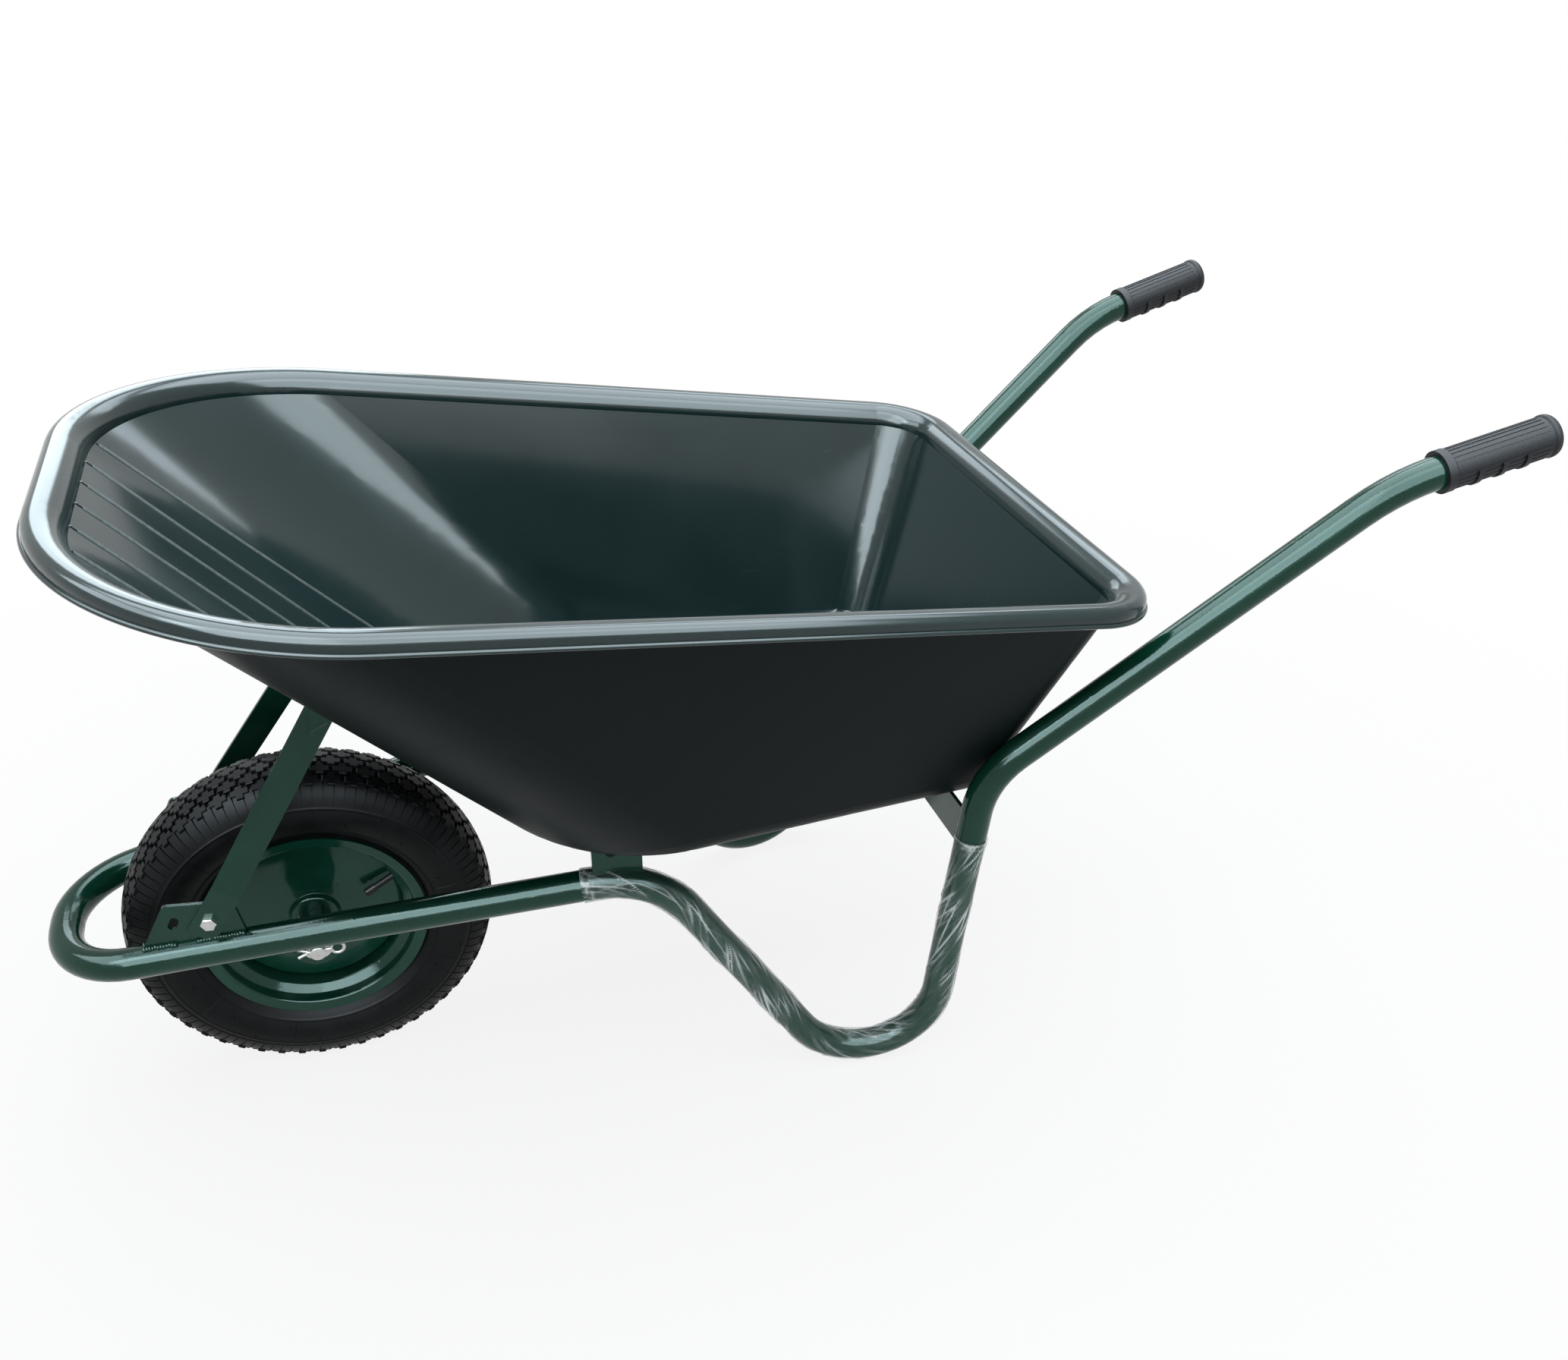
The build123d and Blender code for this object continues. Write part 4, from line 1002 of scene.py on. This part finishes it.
def rim_path():
    """Points round the tray's rim, in its own plane, with the way outwards at each."""
    corners = [
        (0.0, -RIM_HALF_FRONT, RIM_FRONT_ROUND),
        (RIM_LONG, -RIM_HALF_REAR, RIM_REAR_ROUND),
        (RIM_LONG, RIM_HALF_REAR, RIM_REAR_ROUND),
        (0.0, RIM_HALF_FRONT, RIM_FRONT_ROUND),
    ]
    points = rounded(corners, steps=40, closed=True)
    result = []
    for number, spot in enumerate(points):
        run = (points[(number + 1) % len(points)] - points[number - 1]).normalized()
        result.append((spot, Vector((run.y, -run.x))))
    return result


def lip_bead():
    """The round bead along the lower edge of the tray's lip."""
    along = Vector((math.cos(RIM_PITCH), 0.0, -math.sin(RIM_PITCH)))
    up = Vector((math.sin(RIM_PITCH), 0.0, math.cos(RIM_PITCH)))
    across = Vector((0.0, 1.0, 0.0))
    points = []
    for spot, out in rim_path():
        outward = along * out.x + across * out.y
        middle = RIM_FRONT + along * spot.x + across * spot.y
        points.append(middle + outward * LIP_BEAD_OUT - up * LIP_BEAD_DROP)
    edges = [(number - 1, number) for number in range(1, len(points))] + [(len(points) - 1, 0)]
    beads("lip_bead", points, edges, LIP_BEAD_SIZE, FINISHES["tray_plastic"])


def slope_lines():
    """Pale covers over the raised lines inside the tray's front slope, their colour a painted highlight
    along each line.
    """
    inside = BVHTree.FromObject(nodes["tray"], bpy.context.evaluated_depsgraph_get())
    down = Vector((0.0, 0.0, -1.0))
    points, edges = [], []
    for across in SLOPE_LINES:
        beyond = max(0.0, abs(across) - RIM_HALF_FRONT + RIM_FRONT_ROUND)
        curved = RIM_FRONT_ROUND - math.sqrt(RIM_FRONT_ROUND**2 - beyond**2)
        front = RIM_FRONT.x + curved + SLOPE_LINE_TOP
        end = AXLE.x + SLOPE_LINE_END
        for step in range(SLOPE_LINE_STEPS + 1):
            along = front + (end - front) * step / SLOPE_LINE_STEPS
            hits = [
                inside.ray_cast(Vector((along, across + aside, SLOPE_LINE_ABOVE)), down)
                for aside in (-SLOPE_LINE_ASIDE, SLOPE_LINE_ASIDE)
            ]
            middle = (hits[0][0] + hits[1][0]) / 2
            points.append(middle + (hits[0][1] + hits[1][1]).normalized() * -SLOPE_LINE_SUNK)
            if step:
                edges.append((len(points) - 2, len(points) - 1))
    beads("slope_lines", points, edges, SLOPE_LINE_SIZE, PAINTED_LINE_HIGHLIGHT)


slope_lines()
lip_bead()


def leg_axis():
    """Points of the left leg's axis in its side plane, from the run to the handle."""
    start = (LEG_AXIS_START, run_height(LEG_AXIS_START), 0.0)
    corners = [start, FRONT_BEND, FOOT, REAR_BEND, HANDLE_BEND]
    return rounded(corners, steps=24)[:-1]


def film_noise(around, along, waves):
    """Noise on the film's skin, with so many waves along it and round it."""
    return noise.noise(Vector((around.x * waves[1], around.y * waves[1], along * waves[0])))


def film_crease(angle, around, along, to_end):
    """How much the film is creased at a place, from 0 to 1: streaks, bare patches and end pleats."""
    ridge = 0.0
    for twist, lines, breaks, weight in FILM_STREAKS:
        swung = angle + along * twist
        place = Vector((math.cos(swung), math.sin(swung), 0.0)) * lines
        wave = noise.noise(place + Vector((0, 0, along * breaks + twist)))
        sharp = max(0.0, (wave - STREAK_LEVEL) / STREAK_SPAN) ** STREAK_POWER
        ridge = max(ridge, weight * sharp)
    waves_along, waves_round = PATCH_WAVES
    shifted = around.x * waves_round + PATCH_SHIFT
    patch = noise.noise(Vector((along * waves_along, shifted, around.y * waves_round)))
    ridge *= max(PATCH_LEAST, min(1.0, PATCH_MIDDLE + PATCH_SWING * patch))
    pleat = PLEAT_MIDDLE + PLEAT_SWING * film_noise(around, along, PLEAT_WAVES)
    ridge += max(0.0, pleat) * math.exp(-((to_end / FILM_GATHER) ** 2))
    return min(1.0, ridge)


def film():
    """The film's skin round the left leg, creased along its wrap."""
    path = [(spot, run) for spot, run in even_points(leg_axis(), FILM_STEP) if spot.x > FILM_START]
    foot = min(range(len(path)), key=lambda number: path[number][0].y)
    path = path[:foot] + [(spot, run) for spot, run in path[foot:] if spot.y < FILM_END_HEIGHT]
    outward = Vector((-math.sin(SIDE_SPLAY), -math.cos(SIDE_SPLAY), 0.0))
    ahead = Vector((math.cos(SIDE_SPLAY), -math.sin(SIDE_SPLAY), 0.0))
    verts, faces, creases = [], [], []
    for ring, (spot, run) in enumerate(path):
        middle = side_point(spot.x, spot.y, -1)
        inward = ahead * -run.y + Vector((0, 0, run.x))
        along = ring * FILM_STEP
        to_end = min(along, len(path) * FILM_STEP - along)
        for corner in range(FILM_SIDES):
            angle = math.tau * corner / FILM_SIDES
            around = Vector((math.cos(angle), math.sin(angle), 0.0))
            ridge = film_crease(angle, around, along, to_end)
            slack = SLACK_SIZE * film_noise(around, along, SLACK_WAVES)
            lift = TUBE_RADIUS + FILM_CLEAR + FILM_CREASE * ridge + slack
            skin = middle + (outward * around.x + inward * around.y) * lift
            skin.z = max(skin.z, FILM_FLOOR)
            verts.append(skin)
            creases.append(ridge)
    for ring in range(len(path) - 1):
        for corner in range(FILM_SIDES):
            after = (corner + 1) % FILM_SIDES
            here, there = ring * FILM_SIDES, (ring + 1) * FILM_SIDES
            faces.append((here + corner, there + corner, there + after, here + after))
    mesh = made("film", verts, faces)
    mesh.attributes.new("crease", "FLOAT", "POINT").data.foreach_set("value", creases)
    placed("leg_film", mesh, FILM, "frame", sharp_degrees=70.0)


film()


# Studio
def shown(tree):
    """One where the background is seen, straight or in a reflection or through glass."""
    path = tree.nodes.new("ShaderNodeLightPath").outputs
    result = path["Is Camera Ray"]
    for kind in ("Is Glossy Ray", "Is Transmission Ray"):
        larger = tree.nodes.new("ShaderNodeMath")
        larger.operation = "MAXIMUM"
        tree.links.new(result, larger.inputs[0])
        tree.links.new(path[kind], larger.inputs[1])
        result = larger.outputs["Value"]
    return result


def mixed(tree, factor, first, second, output):
    """Two shaders mixed by a factor, as the tree's surface."""
    mix = tree.nodes.new("ShaderNodeMixShader")
    for value, socket in zip((factor, first, second), mix.inputs):
        tree.links.new(value, socket)
    tree.links.new(mix.outputs["Shader"], tree.nodes[output].inputs["Surface"])


def studio():
    world = bpy.data.worlds.new("studio")
    bpy.context.scene.world = world
    world.use_nodes = True
    tree = world.node_tree
    dim, white = tree.nodes["Background"], tree.nodes.new("ShaderNodeBackground")
    for light, colour, strength in ((dim, WORLD_TINT, WORLD_LEVEL), (white, WHITE, 1.0)):
        light.inputs["Color"].default_value = colour
        light.inputs["Strength"].default_value = strength
    mixed(tree, shown(tree), dim.outputs[0], white.outputs[0], "World Output")

    signs = ((-1, -1), (1, -1), (1, 1), (-1, 1))
    corners = [(FLOOR_REACH * x, FLOOR_REACH * y, 0.0) for x, y in signs]
    floor_mesh = made("floor", corners, [(0, 1, 2, 3)])
    floor = bpy.data.objects.new("floor", floor_mesh)
    bpy.context.scene.collection.objects.link(floor)
    floor_mesh.materials.append(pale_floor())


def pale_floor():
    """A pale floor that keeps the shadow near the object and fades to the white backdrop."""
    finish = Finish("pale_floor")
    finish.set(Base_Color=(FLOOR_GREY, FLOOR_GREY, FLOOR_GREY, 1.0), Roughness=0.9)
    away = finish.add("ShaderNodeVectorMath")
    away.operation = "LENGTH"
    finish.join(finish.place, away.inputs[0])
    fade = finish.span(away.outputs["Value"], *FLOOR_FADE)
    white = finish.add("ShaderNodeEmission", Color=WHITE, Strength=1.0)
    factor = finish.maths("MULTIPLY", fade, shown(finish.tree))
    mixed(finish.tree, factor, finish.shader.outputs[0], white.outputs[0], "Material Output")
    return finish.material


def softbox(name, place, aim, size, power, tint):
    data = bpy.data.lights.new(name, "AREA")
    data.shape = "RECTANGLE"
    data.size, data.size_y = size
    data.energy = power
    data.color = tint
    lamp = bpy.data.objects.new(name, data)
    bpy.context.scene.collection.objects.link(lamp)
    lamp.location = place
    lamp.rotation_euler = (Vector(aim) - Vector(place)).to_track_quat("-Z", "Y").to_euler()
    lamp.visible_camera = False
    return lamp


def reflector(name, place, aim, size, brightness, tint):
    """A bright card that only gloss sees: brightness is as seen, with white at 1."""
    power = brightness * math.pi * size[0] * size[1]
    lamp = softbox(name, place, aim, size, power, tint)
    lamp.visible_diffuse = False
    lamp.visible_transmission = False


studio()
softbox("overhead", (0.0, 0.0, 3.6), (0.0, 0.0, 0.3), (4.0, 4.0), 130.0, LAMP_TINT)
softbox("near_side", (-0.6, -3.4, 1.8), (0.0, 0.0, 0.4), (2.6, 1.6), 12.0, WHITE[:3])
for card in CARDS:
    reflector(*card)

bpy.context.scene.view_settings.view_transform = "Standard"
